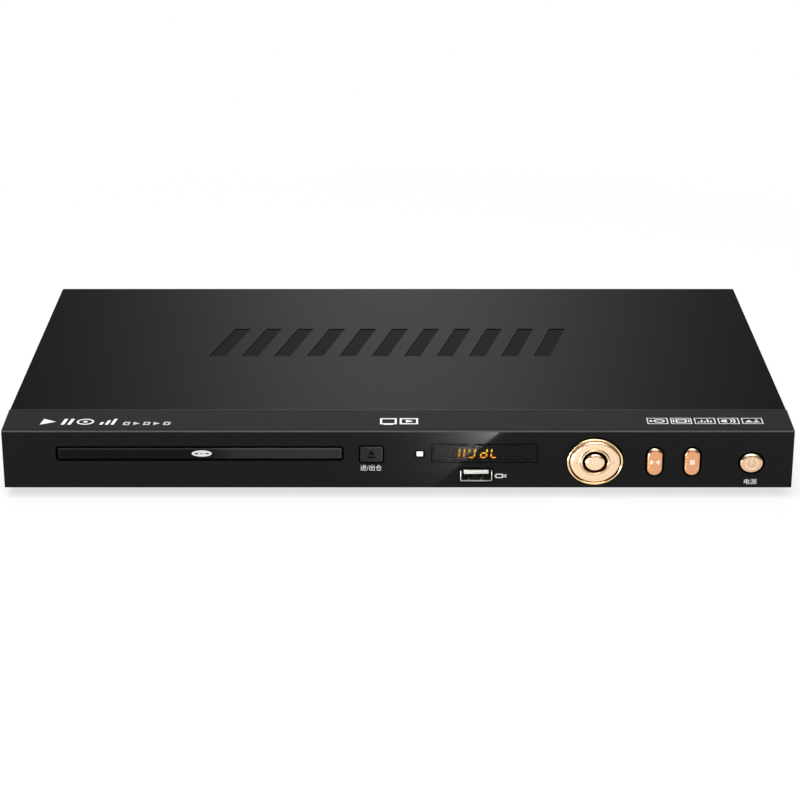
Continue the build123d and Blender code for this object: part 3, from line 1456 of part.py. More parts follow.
with BuildPart() as deck:
    with BuildSketch(deck_plane(deck_level)):
        with Locations((0, (deck_front + deck_end) / 2)):
            RectangleRounded(2 * deck_half, deck_end - deck_front, 4.0)
    extrude(amount=deck_thick)
    with BuildSketch(deck_plane(deck_level)):
        for side in (-1, 1):
            with Locations((side * (deck_half - deck_rib / 2), (62.0 + deck_end - 4) / 2)):
                Rectangle(deck_rib, deck_end - 66.0)
        for x in (-pickup_window - 1.4, screw_window + 1.4):
            with Locations((x, sum(opening) / 2)):
                Rectangle(deck_rib, opening[1] - opening[0])
    extrude(amount=-1.6)
    with BuildSketch(deck_plane(deck_level)):
        for span in (seat_front, seat_end):
            for side in (-1, 1):
                with Locations((side * rod_x, sum(span) / 2)):
                    Rectangle(4.4, span[1] - span[0])
        with Locations((screw_x, sum(seat_front) / 2)):
            Rectangle(6.0, seat_front[1] - seat_front[0])
        with Locations((screw_x, sled_front - 1.0)):
            Rectangle(9.0, 2.0)
    extrude(amount=seat_low - deck_level)
    with BuildSketch(deck_plane(deck_level + deck_thick)):
        for side in (-1, 1):
            with Locations((side * (deck_half - 2.5), (deck_end - 5 + pivot_depth + 3.4) / 2)):
                Rectangle(5.0, pivot_depth + 3.4 - deck_end + 5)
    extrude(amount=pivot_z - 3.0 - deck_level - deck_thick)
    with BuildSketch(deck_plane(pivot_z - 4)):
        with Locations((0, disc_depth)):
            Circle(spindle_motor_radius + 0.6)
        with Locations(((screw_window - pickup_window) / 2, sum(opening) / 2)):
            Rectangle(screw_window + pickup_window, opening[1] - opening[0])
        with Locations((0, disc_depth + spindle_motor_radius + 2)):
            Rectangle(2 * throat_half, 5.0)
        with Locations((screw_x, (sled_front + deck_end + 1) / 2)):
            Rectangle(9.0, deck_end + 1 - sled_front)
    extrude(amount=8.5, mode=Mode.SUBTRACT)
    with BuildSketch(deck_section(rod_front)):
        with Locations((-rod_x, rod_level), (rod_x, rod_level)):
            Circle(rod_radius)
    extrude(amount=-(rod_end - rod_front), mode=Mode.SUBTRACT)
    with BuildSketch(deck_section(rod_front)):
        with Locations((screw_x, rod_level)):
            Circle(spindle_radius + axle_play)
    extrude(amount=-(sled_front - rod_front), mode=Mode.SUBTRACT)
    with BuildSketch(Plane.YZ.offset(loader_x)):
        with Locations((front_y + pivot_depth, pivot_z)):
            Circle(trunnion_radius)
    extrude(amount=ear_x + ear_thick - 0.6, both=True)
    with BuildSketch(deck_section(deck_front + 0.5)):
        with Locations(*[(x, cam_pin_level) for x in cam_pin_x]):
            Circle(cam_pin_radius)
    extrude(amount=deck_front + 0.5 - cam_front - 0.5)
deck.part.label = "deck"
export_step(deck.part, "parts/deck.step")

with BuildPart() as spindle_motor:
    with BuildSketch(deck_plane(spindle_motor_low)):
        with Locations((0, disc_depth)):
            Circle(spindle_motor_radius)
    extrude(amount=spindle_motor_high - spindle_motor_low)
    with BuildSketch(deck_plane(deck_level)):
        with Locations((0, disc_depth)):
            Rectangle(34.0, 27.0)
            Circle(spindle_motor_radius - 1, mode=Mode.SUBTRACT)
    extrude(amount=-1.1)
    with BuildSketch(deck_plane(spindle_motor_high)):
        with Locations((0, disc_depth)):
            Circle(spindle_radius + axle_play)
    extrude(amount=-5.5, mode=Mode.SUBTRACT)
spindle_motor.part.label = "spindle_motor"
export_step(spindle_motor.part, "parts/spindle_motor.step")

with BuildPart() as turntable:
    with BuildSketch(deck_plane(platter_level - platter_thick)):
        with Locations((0, disc_depth)):
            Circle(platter_radius)
    extrude(amount=platter_thick)
    with BuildSketch(deck_plane(platter_level)):
        with Locations((0, disc_depth)):
            Circle(hub_radius)
    extrude(amount=hub_height)
    chamfer(turntable.edges().sort_by(Axis.Z)[-1], 1.3)
    with BuildSketch(deck_plane(platter_level - platter_thick)):
        with Locations((0, disc_depth)):
            Circle(8.0)
    extrude(amount=spindle_motor_high + 0.3 - platter_level + platter_thick)
    with BuildSketch(deck_plane(platter_level - platter_thick)):
        with Locations((0, disc_depth)):
            Circle(spindle_radius)
    extrude(amount=-5.6)
turntable.part.label = "turntable"
export_step(turntable.part, "parts/turntable.step")

with BuildPart() as guide_rods:
    with BuildSketch(deck_section(rod_front)):
        with Locations((-rod_x, rod_level), (rod_x, rod_level)):
            Circle(rod_radius)
    extrude(amount=-(rod_end - rod_front))
guide_rods.part.label = "guide_rods"
export_step(guide_rods.part, "parts/guide_rods.step")

carriage_front = pickup_depth - 8.8
carriage_end = pickup_depth + 15.0
with BuildPart() as pickup:
    with BuildSketch(deck_plane(seat_low + 0.1)):
        with Locations((0, (carriage_front + carriage_end) / 2)):
            Rectangle(32.0, carriage_end - carriage_front)
        with Locations((rod_x, pickup_depth + 3)):
            Rectangle(7.0, 20.0)
        with Locations((-rod_x, pickup_depth + 3)):
            Rectangle(7.0, 8.0)
    extrude(amount=4.0)
    with BuildSketch(deck_plane(seat_low + 4.1)):
        with Locations((0, (carriage_front + carriage_end) / 2)):
            Rectangle(29.0, carriage_end - carriage_front)
    extrude(amount=2.6)
    with BuildSketch(deck_plane(seat_low + 6.7)):
        with Locations((0, pickup_depth + 2)):
            Rectangle(22.0, 20.0)
    extrude(amount=1.0)
    with BuildSketch(deck_plane(seat_low + 7.7)):
        with Locations((0, pickup_depth)):
            RectangleRounded(11.0, 11.0, 2.0)
    extrude(amount=0.7)
    with BuildSketch(deck_plane(seat_low + 8.4)):
        with Locations((0, pickup_depth)):
            Circle(3.1)
    extrude(amount=-0.7, mode=Mode.SUBTRACT)
    with BuildSketch(deck_plane(rod_level + 1.3)):
        with Locations((screw_x - 2.2, pickup_depth + 3)):
            Rectangle(9.6, 8.0)
    extrude(amount=-3.0)
    with BuildSketch(deck_section(carriage_front - 1)):
        with Locations((rod_x, rod_level)):
            Circle(rod_radius + axle_play)
        with Locations((screw_x, rod_level)):
            Circle(lead_radius + axle_play)
        with Locations((-rod_x, rod_level)):
            Circle(rod_radius + axle_play)
        with Locations((-rod_x - 3, rod_level)):
            Rectangle(6.0, 2 * (rod_radius + axle_play))
    extrude(amount=-30, mode=Mode.SUBTRACT)
pickup.part.label = "pickup"
export_step(pickup.part, "parts/pickup.step")

with BuildPart() as pickup_lens:
    with BuildSketch(deck_plane(seat_low + 7.7)):
        with Locations((0, pickup_depth)):
            Circle(3.0)
    extrude(amount=1.0)
    chamfer(pickup_lens.edges().sort_by(Axis.Z)[-1], 0.4)
pickup_lens.part.label = "pickup_lens"
export_step(pickup_lens.part, "parts/pickup_lens.step")

with BuildPart() as lead_screw:
    with BuildSketch(deck_section(opening[0] + fit_gap)):
        with Locations((screw_x, rod_level)):
            Circle(lead_radius)
    extrude(amount=-(opening[1] - opening[0] - 2 * fit_gap))
    with BuildSketch(deck_section(seat_front[0] + 0.6)):
        with Locations((screw_x, rod_level)):
            Circle(spindle_radius)
    extrude(amount=-(sled_front + 2.0 - seat_front[0] - 0.6))
lead_screw.part.label = "lead_screw"
export_step(lead_screw.part, "parts/lead_screw.step")

with BuildPart() as sled_motor:
    with BuildSketch(deck_section(sled_front)):
        with Locations((screw_x, rod_level)):
            Circle(4.0)
    extrude(amount=-13.0)
    with BuildSketch(deck_section(sled_front)):
        with Locations((screw_x, rod_level)):
            Circle(spindle_radius + axle_play)
    extrude(amount=-2.5, mode=Mode.SUBTRACT)
sled_motor.part.label = "sled_motor"
export_step(sled_motor.part, "parts/sled_motor.step")

# Screws

with BuildPart() as loader_screws:
    with BuildSketch(loader_plane(floor_top + 8.2)):
        with Locations(*loader_feet):
            Circle(screw_head_radius)
    extrude(amount=screw_head)
    with BuildSketch(loader_plane(floor_top + 8.2)):
        with Locations(*loader_feet):
            Circle(screw_radius)
    extrude(amount=-(8.2 + sheet))
loader_screws.part.label = "loader_screws"
export_step(loader_screws.part, "parts/loader_screws.step")

with BuildPart() as board_screws:
    with BuildSketch(floor_plane(board_top)):
        with Locations(*board_posts):
            Circle(screw_head_radius)
    extrude(amount=screw_head)
    with BuildSketch(floor_plane(board_top)):
        with Locations(*board_posts):
            Circle(screw_radius)
    extrude(amount=-(circuit_thick + post_height - 0.5))
    with BuildSketch(front_plane(board_depth + board_thick)):
        with Locations(*post_places):
            Circle(screw_head_radius)
    extrude(amount=-screw_head)
    with BuildSketch(front_plane(board_depth + board_thick)):
        with Locations(*post_places):
            Circle(screw_radius)
    extrude(amount=board_thick + 7)
board_screws.part.label = "board_screws"
export_step(board_screws.part, "parts/board_screws.step")

with BuildPart() as panel_screws:
    with BuildSketch(floor_plane(floor_z)):
        with Locations(*[(x, floor_rear - panel_flange / 2) for x in panel_screw_x]):
            Circle(screw_head_radius)
    extrude(amount=-screw_head)
    with BuildSketch(floor_plane(floor_z)):
        with Locations(*[(x, floor_rear - panel_flange / 2) for x in panel_screw_x]):
            Circle(screw_radius)
    extrude(amount=2 * sheet + 1)
    with BuildSketch(front_plane(cabinet_depth - panel_recess)):
        with Locations(*jack_screws):
            Circle(screw_head_radius)
    extrude(amount=-screw_head)
    with BuildSketch(front_plane(cabinet_depth - panel_recess)):
        with Locations(*jack_screws):
            Circle(screw_radius)
    extrude(amount=jack_depth - 5)
panel_screws.part.label = "panel_screws"
export_step(panel_screws.part, "parts/panel_screws.step")

with BuildPart() as cover_screws:
    with BuildSketch(front_plane(cabinet_depth)):
        with Locations(*[(x, screw_line) for x in cover_screw_x]):
            Circle(screw_head_radius)
    extrude(amount=-screw_head)
    with BuildSketch(front_plane(cabinet_depth)):
        with Locations(*[(x, screw_line) for x in cover_screw_x]):
            Circle(screw_radius)
    extrude(amount=6.0)
cover_screws.part.label = "cover_screws"
export_step(cover_screws.part, "parts/cover_screws.step")
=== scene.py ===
# Disc player with a drawer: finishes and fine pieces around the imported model, in its own frame
from math import cos, pi, radians, sin

import bmesh
import bpy
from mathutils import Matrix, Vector


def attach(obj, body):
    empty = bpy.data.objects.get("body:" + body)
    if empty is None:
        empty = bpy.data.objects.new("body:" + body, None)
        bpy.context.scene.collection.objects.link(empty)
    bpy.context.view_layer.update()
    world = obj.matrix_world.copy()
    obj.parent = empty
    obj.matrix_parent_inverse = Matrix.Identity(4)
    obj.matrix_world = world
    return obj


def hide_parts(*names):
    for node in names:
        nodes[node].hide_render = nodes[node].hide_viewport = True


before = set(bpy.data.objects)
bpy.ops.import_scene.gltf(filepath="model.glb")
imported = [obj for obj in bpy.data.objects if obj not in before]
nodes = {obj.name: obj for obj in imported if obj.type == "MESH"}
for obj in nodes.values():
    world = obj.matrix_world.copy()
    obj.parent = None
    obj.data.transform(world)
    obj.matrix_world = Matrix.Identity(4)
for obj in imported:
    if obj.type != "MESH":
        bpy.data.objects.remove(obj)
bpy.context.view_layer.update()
print("frame loaded,", len(nodes), "nodes")

mm = 0.001
front = {"y": -104.55, "top": 32.75}  # glossy face, in millimetres
strip = {"depth": 24.0, "rise": 1.0}  # satin band between the face and the cover


# Tools

def linear(text):
    # sRGB hex to the linear colour of a socket
    parts = [int(text[i:i + 2], 16) / 255 for i in (1, 3, 5)]
    return tuple(p / 12.92 if p <= 0.04045 else ((p + 0.055) / 1.055) ** 2.4 for p in parts) + (1.0,)


def addNode(tree, kind, settings=None, inputs=None):
    # a node given as an input stands for its first output in use
    node = tree.nodes.new(kind)
    for name, value in (settings or {}).items():
        setattr(node, name, value)
    for key, value in (inputs or {}).items():
        if isinstance(value, bpy.types.Node):
            value = next(socket for socket in value.outputs if socket.enabled)
        if isinstance(value, bpy.types.NodeSocket):
            tree.links.new(value, node.inputs[key])
        else:
            node.inputs[key].default_value = value
    return node


def emptyTree(owner):
    owner.use_nodes = True
    owner.node_tree.nodes.clear()
    return owner.node_tree


def startFinish(name, surface):
    material = bpy.data.materials.new(name)
    tree = emptyTree(material)
    shader = addNode(tree, "ShaderNodeBsdfPrincipled", inputs=surface)
    addNode(tree, "ShaderNodeOutputMaterial", inputs={"Surface": shader})
    coords = addNode(tree, "ShaderNodeTexCoord").outputs["Object"]
    return material, tree, shader, coords


def addGrain(tree, shader, coords, grain, depth, rough, tones=None, stretch=(1, 1, 1)):
    # grain and depth in millimetres: bump and roughness from one noise, tones from one twelve grains wide;
    # most real grains here are finer than a pixel, so they are drawn as coarse as they need to show
    scaled = addNode(tree, "ShaderNodeMapping", inputs={"Vector": coords, "Scale": stretch})
    noise = addNode(tree, "ShaderNodeTexNoise", inputs={"Vector": scaled, "Scale": 1 / (grain * mm), "Detail": 3.0})
    if depth:
        bump = addNode(tree, "ShaderNodeBump", inputs={"Height": noise, "Distance": depth * mm, "Strength": 1.0})
        tree.links.new(bump.outputs[0], shader.inputs["Normal"])
    spread = addNode(tree, "ShaderNodeMapRange", inputs={
        "Value": noise, "From Min": 0.3, "From Max": 0.7, "To Min": rough[0], "To Max": rough[1]})
    tree.links.new(spread.outputs[0], shader.inputs["Roughness"])
    if tones:
        wide = addNode(tree, "ShaderNodeTexNoise", inputs={
            "Vector": coords, "Scale": 1 / (grain * 12 * mm), "Detail": 4.0})
        mix = addNode(tree, "ShaderNodeMix", {"data_type": "RGBA"}, {
            "Factor": wide, "A": linear(tones[0]), "B": linear(tones[1])})
        tree.links.new(mix.outputs["Result"], shader.inputs["Base Color"])
    return spread


def plainFinish(name, tones, rough, grain=0.5, depth=0.004, metallic=0.0, level=0.5, stretch=(1, 1, 1), more=None):
    surface = {"Base Color": linear(tones[0]), "Metallic": metallic, "Specular IOR Level": level, **(more or {})}
    material, tree, shader, coords = startFinish(name, surface)
    addGrain(tree, shader, coords, grain, depth, rough, tones, stretch)
    return material


def wear(material, *names):
    # gives the finish to CAD nodes whose shape stays
    for name in names:
        for slot in nodes[name].material_slots:
            slot.material = material
    return material


def declare(piece, body, slot, *replaced):
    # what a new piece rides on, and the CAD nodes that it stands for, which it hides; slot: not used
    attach(piece, body)
    if replaced:
        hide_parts(*replaced)
    return piece


def addObject(name, data):
    made = bpy.data.objects.new(name, data)
    bpy.context.scene.collection.objects.link(made)
    return made


def smoothMesh(mesh, shape, merge, sharp):
    # merges the doubles of shape, turns its faces outwards and stores it in mesh
    bmesh.ops.remove_doubles(shape, verts=shape.verts, dist=merge)
    bmesh.ops.recalc_face_normals(shape, faces=shape.faces)
    shape.to_mesh(mesh)
    shape.free()
    mesh.shade_smooth()
    mesh.set_sharp_from_angle(angle=radians(sharp))


def makeMesh(name, build, material, sharp=35):
    mesh = bpy.data.meshes.new(name)
    shape = bmesh.new()
    build(shape)
    smoothMesh(mesh, shape, 1e-7, sharp)
    mesh.materials.append(material)
    return addObject(name, mesh)


def outline(width, height, corner, inset, count=96, pull=1.0):
    # points of an ellipse (corner None) or of a rounded rectangle, drawn in by inset;
    # pull is the share of the inset that an ellipse takes in height
    points = []
    for step in range(count):
        turn = 2 * pi * (step + 0.5) / count
        if corner is None:
            points.append(((width / 2 - inset) * cos(turn), (height / 2 - inset * pull) * sin(turn)))
            continue
        radius = max(corner - inset, 0.02)
        sideX = 1 if cos(turn) > 0 else -1
        sideZ = 1 if sin(turn) > 0 else -1
        points.append((
            sideX * (width / 2 - inset - radius) + radius * cos(turn),
            sideZ * (height / 2 - inset - radius) + radius * sin(turn),
        ))
    return points


def shellOnFace(name, centre, size, corner, profile, material, closed=False, count=96, pull=1.0):
    # profile: (inset, distance in front of the face) from one end to the other
    def build(shape):
        rings = []
        for inset, stand in profile:
            rings.append([
                shape.verts.new(Vector((centre[0] + x, front["y"] - stand, centre[1] + z)) * mm)
                for x, z in outline(size[0], size[1], corner, inset, count, pull)
            ])
        pairs = list(zip(rings, rings[1:])) + ([(rings[-1], rings[0])] if closed else [])
        for near, far in pairs:
            for step in range(count):
                after = (step + 1) % count
                shape.faces.new((near[step], near[after], far[after], far[step]))
        if not closed:
            shape.faces.new(rings[0])
            shape.faces.new(rings[-1])
    return makeMesh(name, build, material)


def shadeWalls(piece, material, stand=0.05, well=None):
    # painted shade: what lies behind that level, or inside the well, takes a matt black material for the shade there;
    # well: x, z, half width, half height and the stand of its edge
    piece.data.materials.append(material)
    for face in piece.data.polygons:
        x, y, z = face.center / mm
        behind = y > front["y"] - stand
        if well and ((x - well[0]) / well[2]) ** 2 + ((z - well[1]) / well[3]) ** 2 < 1:
            behind = behind or y > front["y"] - well[4]
        if behind:
            face.material_index = 1


def recolour(piece, material, test):
    piece.data.materials.append(material)
    last = len(piece.data.materials) - 1
    for face in piece.data.polygons:
        if face.center.y < (front["y"] - 0.05) * mm and test(face):
            face.material_index = last


def spanOf(corners):
    return [Vector([pick(corner[i] for corner in corners) for i in range(3)]) for pick in (min, max)]


def boxOf(name):
    return spanOf([corner.co for corner in nodes[name].data.vertices])


def onFace(x, z, out=0.0):
    return Vector((x, front["y"] - out, z)) * mm


def onStrip(x, back, out=0.0):
    return Vector((x, front["y"] + back, front["top"] + strip["rise"] * back / strip["depth"] + out)) * mm


def printOn(name, shapes, spot, material, thick=0.03):
    # each shape is a list of points, or a pair of lists for an outline with its hole
    def build(shape):
        for item in shapes:
            loops = item if isinstance(item[0][0], (tuple, list)) else [item]
            levels = [
                [[shape.verts.new(spot(x, z, level)) for x, z in loop] for loop in loops] for level in (0.0, thick)]
            for low, high in zip(*levels):
                for step in range(len(low)):
                    after = (step + 1) % len(low)
                    shape.faces.new((low[step], low[after], high[after], high[step]))
            for level in levels:
                if len(loops) == 1:
                    shape.faces.new(level[0])
                    continue
                outer, inner = level
                for step in range(len(outer)):
                    after = (step + 1) % len(outer)
                    shape.faces.new((outer[step], outer[after], inner[after], inner[step]))
    return makeMesh(name, build, material, 20)


def barShape(left, low, right, high, lean=0.0):
    return [(left, low), (right, low), (right + lean, high), (left + lean, high)]


def roundShape(x, z, radiusX, radiusZ, count=40):
    turns = [radians(360 * i / count) for i in range(count)]
    return [(x + radiusX * cos(t), z + radiusZ * sin(t)) for t in turns]


def arcShape(x, z, outer, inner, start, end, count=30):
    turns = [radians(start + (end - start) * i / count) for i in range(count + 1)]
    far = [(x + outer * cos(t), z + outer * sin(t)) for t in turns]
    return far + [(x + inner * cos(t), z + inner * sin(t)) for t in reversed(turns)]


# Finishes

cover = {"seam": -80.55, "roof": 33.75, "bars": (120.0, 75.0)}


def makeCoverPaint():
    # powder-coated sheet steel: semi-matt black whose fine orange peel spreads the light sideways;
    # the pressed bars are left rough and darker, and the folded front hem is painted lighter, a painted highlight
    material, tree, shader, coords = startFinish("powderCoatedSteel", {"IOR": 1.5, "Specular IOR Level": 0.007})
    peel = addGrain(tree, shader, coords, 0.35, 0.0008, (0.40, 0.44))
    parts = addNode(tree, "ShaderNodeSeparateXYZ", inputs={"Vector": coords})
    low = addNode(tree, "ShaderNodeMapRange", inputs={
        "Value": parts.outputs["Z"], "From Min": (cover["roof"] - 0.05) * mm, "From Max": (cover["roof"] - 0.2) * mm})
    wide = addNode(tree, "ShaderNodeMath", {"operation": "ABSOLUTE"}, {0: parts.outputs["X"]})
    wide = addNode(tree, "ShaderNodeMath", {"operation": "LESS_THAN"}, {0: wide, 1: cover["bars"][0] * mm})
    deep = addNode(tree, "ShaderNodeMath", {"operation": "ABSOLUTE"}, {0: parts.outputs["Y"]})
    deep = addNode(tree, "ShaderNodeMath", {"operation": "LESS_THAN"}, {0: deep, 1: cover["bars"][1] * mm})
    area = addNode(tree, "ShaderNodeMath", {"operation": "MULTIPLY"}, {0: wide, 1: deep})
    pressed = addNode(tree, "ShaderNodeMath", {"operation": "MULTIPLY"}, {0: low, 1: area})
    # painted highlight: a strip 0.5 mm deep along the front hem is lighter, where its bend catches the light
    hemHighlight = addNode(tree, "ShaderNodeMath", {"operation": "LESS_THAN"}, {
        0: parts.outputs["Y"], 1: (cover["seam"] + 0.5) * mm})
    rough = addNode(tree, "ShaderNodeMix", inputs={"Factor": pressed, "A": peel, "B": 0.56})
    tree.links.new(rough.outputs["Result"], shader.inputs["Roughness"])
    tone = addNode(tree, "ShaderNodeMix", {"data_type": "RGBA"}, {
        "Factor": pressed, "A": linear("#0f0f10"), "B": linear("#121213")})
    tone = addNode(tree, "ShaderNodeMix", {"data_type": "RGBA"}, {
        "Factor": hemHighlight, "A": tone, "B": linear("#3c3c3d")})
    tree.links.new(tone.outputs["Result"], shader.inputs["Base Color"])
    return material


def makeFrontAbs():
    # injection-moulded ABS: polished face, satin strip on top and a painted highlight on the radius between the two
    material, tree, shader, coords = startFinish("polishedBlackAbs", {"IOR": 1.5, "Specular IOR Level": 0.02})
    parts = addNode(tree, "ShaderNodeSeparateXYZ", inputs={"Vector": coords})
    back = addNode(tree, "ShaderNodeMapRange", inputs={
        "Value": parts.outputs["Y"], "From Min": (front["y"] + 0.45) * mm, "From Max": (front["y"] + 0.55) * mm})
    high = addNode(tree, "ShaderNodeMapRange", inputs={
        "Value": parts.outputs["Z"], "From Min": (front["top"] - 0.6) * mm, "From Max": (front["top"] - 0.5) * mm})
    band = addNode(tree, "ShaderNodeMath", {"operation": "MULTIPLY"}, {0: back, 1: high})
    noise = addNode(tree, "ShaderNodeTexNoise", inputs={"Vector": coords, "Scale": 1 / (0.3 * mm), "Detail": 2.0})
    satin = addNode(tree, "ShaderNodeMapRange", inputs={"Value": noise, "To Min": 0.58, "To Max": 0.68})
    rough = addNode(tree, "ShaderNodeMix", inputs={"Factor": high, "A": 0.06, "B": 0.3})
    rough = addNode(tree, "ShaderNodeMix", inputs={"Factor": band, "A": rough, "B": satin})
    tree.links.new(rough.outputs["Result"], shader.inputs["Roughness"])
    # painted highlight: the radius at the top of the face is painted light grey
    tone = addNode(tree, "ShaderNodeMix", {"data_type": "RGBA"}, {
        "Factor": high, "A": linear("#1f1f1f"), "B": linear("#545455")})
    tone = addNode(tree, "ShaderNodeMix", {"data_type": "RGBA"}, {
        "Factor": band, "A": tone, "B": linear("#262627")})
    tree.links.new(tone.outputs["Result"], shader.inputs["Base Color"])
    bump = addNode(tree, "ShaderNodeBump", inputs={"Height": noise, "Distance": 0.001 * mm, "Strength": band})
    tree.links.new(bump.outputs[0], shader.inputs["Normal"])
    return material


# tones and shade: a painted sheen between two x places; rim: the painted highlight of the bevel
door = {
    "x": -90.25, "z": 21.75, "width": 129.0, "height": 5.0, "tones": ("#101011", "#303031"), "rim": "#505051",
    "shade": (-92, -66), "rough": (0.1, 0.14)}
eject = {
    "x": -12.1, "z": front["top"] - 11.4, "width": 10.1, "height": 7.2, "tones": ("#232324", "#2a2a2b"),
    "rim": "#464647", "shade": (-18, -6), "rough": (0.3, 0.4)}


def makeBevelledAbs(name, bar):
    # moulded ABS bar or key: a painted sheen, the tone running from left to right between the two x places in shade,
    # and a painted highlight on the bevel round its face, stronger where the sheen is
    material, tree, shader, coords = startFinish(name, {"IOR": 1.5, "Specular IOR Level": 0.06})
    parts = addNode(tree, "ShaderNodeSeparateXYZ", inputs={"Vector": coords})
    paintedSheen = addNode(tree, "ShaderNodeMapRange", {"interpolation_type": "SMOOTHSTEP"}, {
        "Value": parts.outputs["X"], "From Min": bar["shade"][0] * mm, "From Max": bar["shade"][1] * mm})
    rims = []
    for axis, middle, span in (("X", bar["x"], bar["width"]), ("Z", bar["z"], bar["height"])):
        away = addNode(tree, "ShaderNodeMath", {"operation": "SUBTRACT"}, {0: parts.outputs[axis], 1: middle * mm})
        away = addNode(tree, "ShaderNodeMath", {"operation": "ABSOLUTE"}, {0: away})
        rims.append(addNode(tree, "ShaderNodeMapRange", inputs={
            "Value": away, "From Min": (span / 2 - 0.5) * mm, "From Max": (span / 2 - 0.4) * mm}))
    rim = addNode(tree, "ShaderNodeMath", {"operation": "MAXIMUM"}, {0: rims[0], 1: rims[1]})
    share = addNode(tree, "ShaderNodeMapRange", inputs={"Value": paintedSheen, "To Min": 0.35, "To Max": 1.0})
    rim = addNode(tree, "ShaderNodeMath", {"operation": "MULTIPLY"}, {0: rim, 1: share})
    # painted highlight on the bevel over the painted sheen
    tone = addNode(tree, "ShaderNodeMix", {"data_type": "RGBA"}, {
        "Factor": paintedSheen, "A": linear(bar["tones"][0]), "B": linear(bar["tones"][1])})
    tone = addNode(tree, "ShaderNodeMix", {"data_type": "RGBA"}, {"Factor": rim, "A": tone, "B": linear(bar["rim"])})
    tree.links.new(tone.outputs["Result"], shader.inputs["Base Color"])
    noise = addNode(tree, "ShaderNodeTexNoise", inputs={"Vector": coords, "Scale": 1 / (0.4 * mm), "Detail": 2.0})
    spread = addNode(tree, "ShaderNodeMapRange", inputs={
        "Value": noise, "To Min": bar["rough"][0], "To Max": bar["rough"][1]})
    tree.links.new(spread.outputs[0], shader.inputs["Roughness"])
    return material


ring = {
    "x": 89.75, "z": front["top"] - 14.9, "width": 22.7, "height": 19.9,
    "pull": 0.832, "well": (5.66, 5.24), "wellRim": 1.36, "bezel": (25.7, 22.6)}
enter = {"x": ring["x"], "z": ring["z"] - 0.4, "width": 9.1, "height": 8.2}
oblong = {"play": 117.0, "stop": 134.05, "z": front["top"] - 15.0, "width": 7.0, "height": 13.3, "corner": 3.5}
power = {"x": 161.1, "z": front["top"] - 15.6, "width": 10.5, "height": 9.3}
ovalShare = 1.14  # width to height of the spun ovals


def makeGold(name, tones, rough, spin=None, stretch=(1, 1, 1), depth=0.0):
    # plated plastic: copper-gold metal under a clear lacquer, spun round the middle of a key or brushed
    material, tree, shader, coords = startFinish(name, {
        "Base Color": linear(tones[0]), "Metallic": 1.0, "Roughness": rough})
    if spin:
        # one spun line is about 0.12 mm wide
        middle = Vector((spin["x"], front["y"], spin["z"])) * mm
        shift = addNode(tree, "ShaderNodeVectorMath", {"operation": "SUBTRACT"}, {0: coords, 1: middle})
        squeeze = addNode(tree, "ShaderNodeVectorMath", {"operation": "MULTIPLY"}, {0: shift, 1: (1.0, 0.0, ovalShare)})
        reach = addNode(tree, "ShaderNodeVectorMath", {"operation": "LENGTH"}, {0: squeeze})
        lines = addNode(tree, "ShaderNodeTexNoise", {"noise_dimensions": "1D"}, {
            "W": reach, "Scale": 1 / (0.12 * mm), "Detail": 2.0})
    else:
        scaled = addNode(tree, "ShaderNodeMapping", inputs={"Vector": coords, "Scale": stretch})
        lines = addNode(tree, "ShaderNodeTexNoise", inputs={"Vector": scaled, "Scale": 1 / (0.25 * mm), "Detail": 3.0})
    tone = addNode(tree, "ShaderNodeMix", {"data_type": "RGBA"}, {
        "Factor": lines, "A": linear(tones[0]), "B": linear(tones[1])})
    tree.links.new(tone.outputs["Result"], shader.inputs["Base Color"])
    if depth:
        bump = addNode(tree, "ShaderNodeBump", inputs={"Height": lines, "Distance": depth * mm})
        tree.links.new(bump.outputs[0], shader.inputs["Normal"])
    return material


def makeShellSteel():
    # nickel-plated sheet of the data socket, whose upper edge is painted dark: painted shade of the front above it
    material, tree, shader, coords = startFinish("socketShellSteel", {"Metallic": 1.0})
    addGrain(tree, shader, coords, 0.3, 0.001, (0.24, 0.34))
    parts = addNode(tree, "ShaderNodeSeparateXYZ", inputs={"Vector": coords})
    # painted shade: dark above 12.6 mm
    high = addNode(tree, "ShaderNodeMapRange", inputs={
        "Value": parts.outputs["Z"], "From Min": 12.6 * mm, "From Max": 13.6 * mm})
    tone = addNode(tree, "ShaderNodeMix", {"data_type": "RGBA"}, {
        "Factor": high, "A": linear("#9d9b97"), "B": linear("#0c0c0c")})
    tree.links.new(tone.outputs["Result"], shader.inputs["Base Color"])
    return material


def makePhonoColours():
    # coloured ABS inserts: one colour to each jack, 14 mm apart
    material, tree, shader, coords = startFinish("phonoInsert", {"IOR": 1.5, "Roughness": 0.4})
    parts = addNode(tree, "ShaderNodeSeparateXYZ", inputs={"Vector": coords})
    along = addNode(tree, "ShaderNodeMapRange", inputs={
        "Value": parts.outputs["X"], "From Min": 20 * mm, "From Max": 104 * mm})
    ramp = addNode(tree, "ShaderNodeValToRGB", inputs={"Fac": along})
    ramp.color_ramp.interpolation = "CONSTANT"
    tones = ("#b01a1e", "#e8e6df", "#d9b514", "#1d7a37", "#1f4fa8", "#b01a1e")
    stops = ramp.color_ramp.elements
    for number, tone in enumerate(tones):
        stop = stops[number] if number < 2 else stops.new(number / len(tones))
        stop.position = number / len(tones)
        stop.color = linear(tone)
    tree.links.new(ramp.outputs["Color"], shader.inputs["Base Color"])
    return material


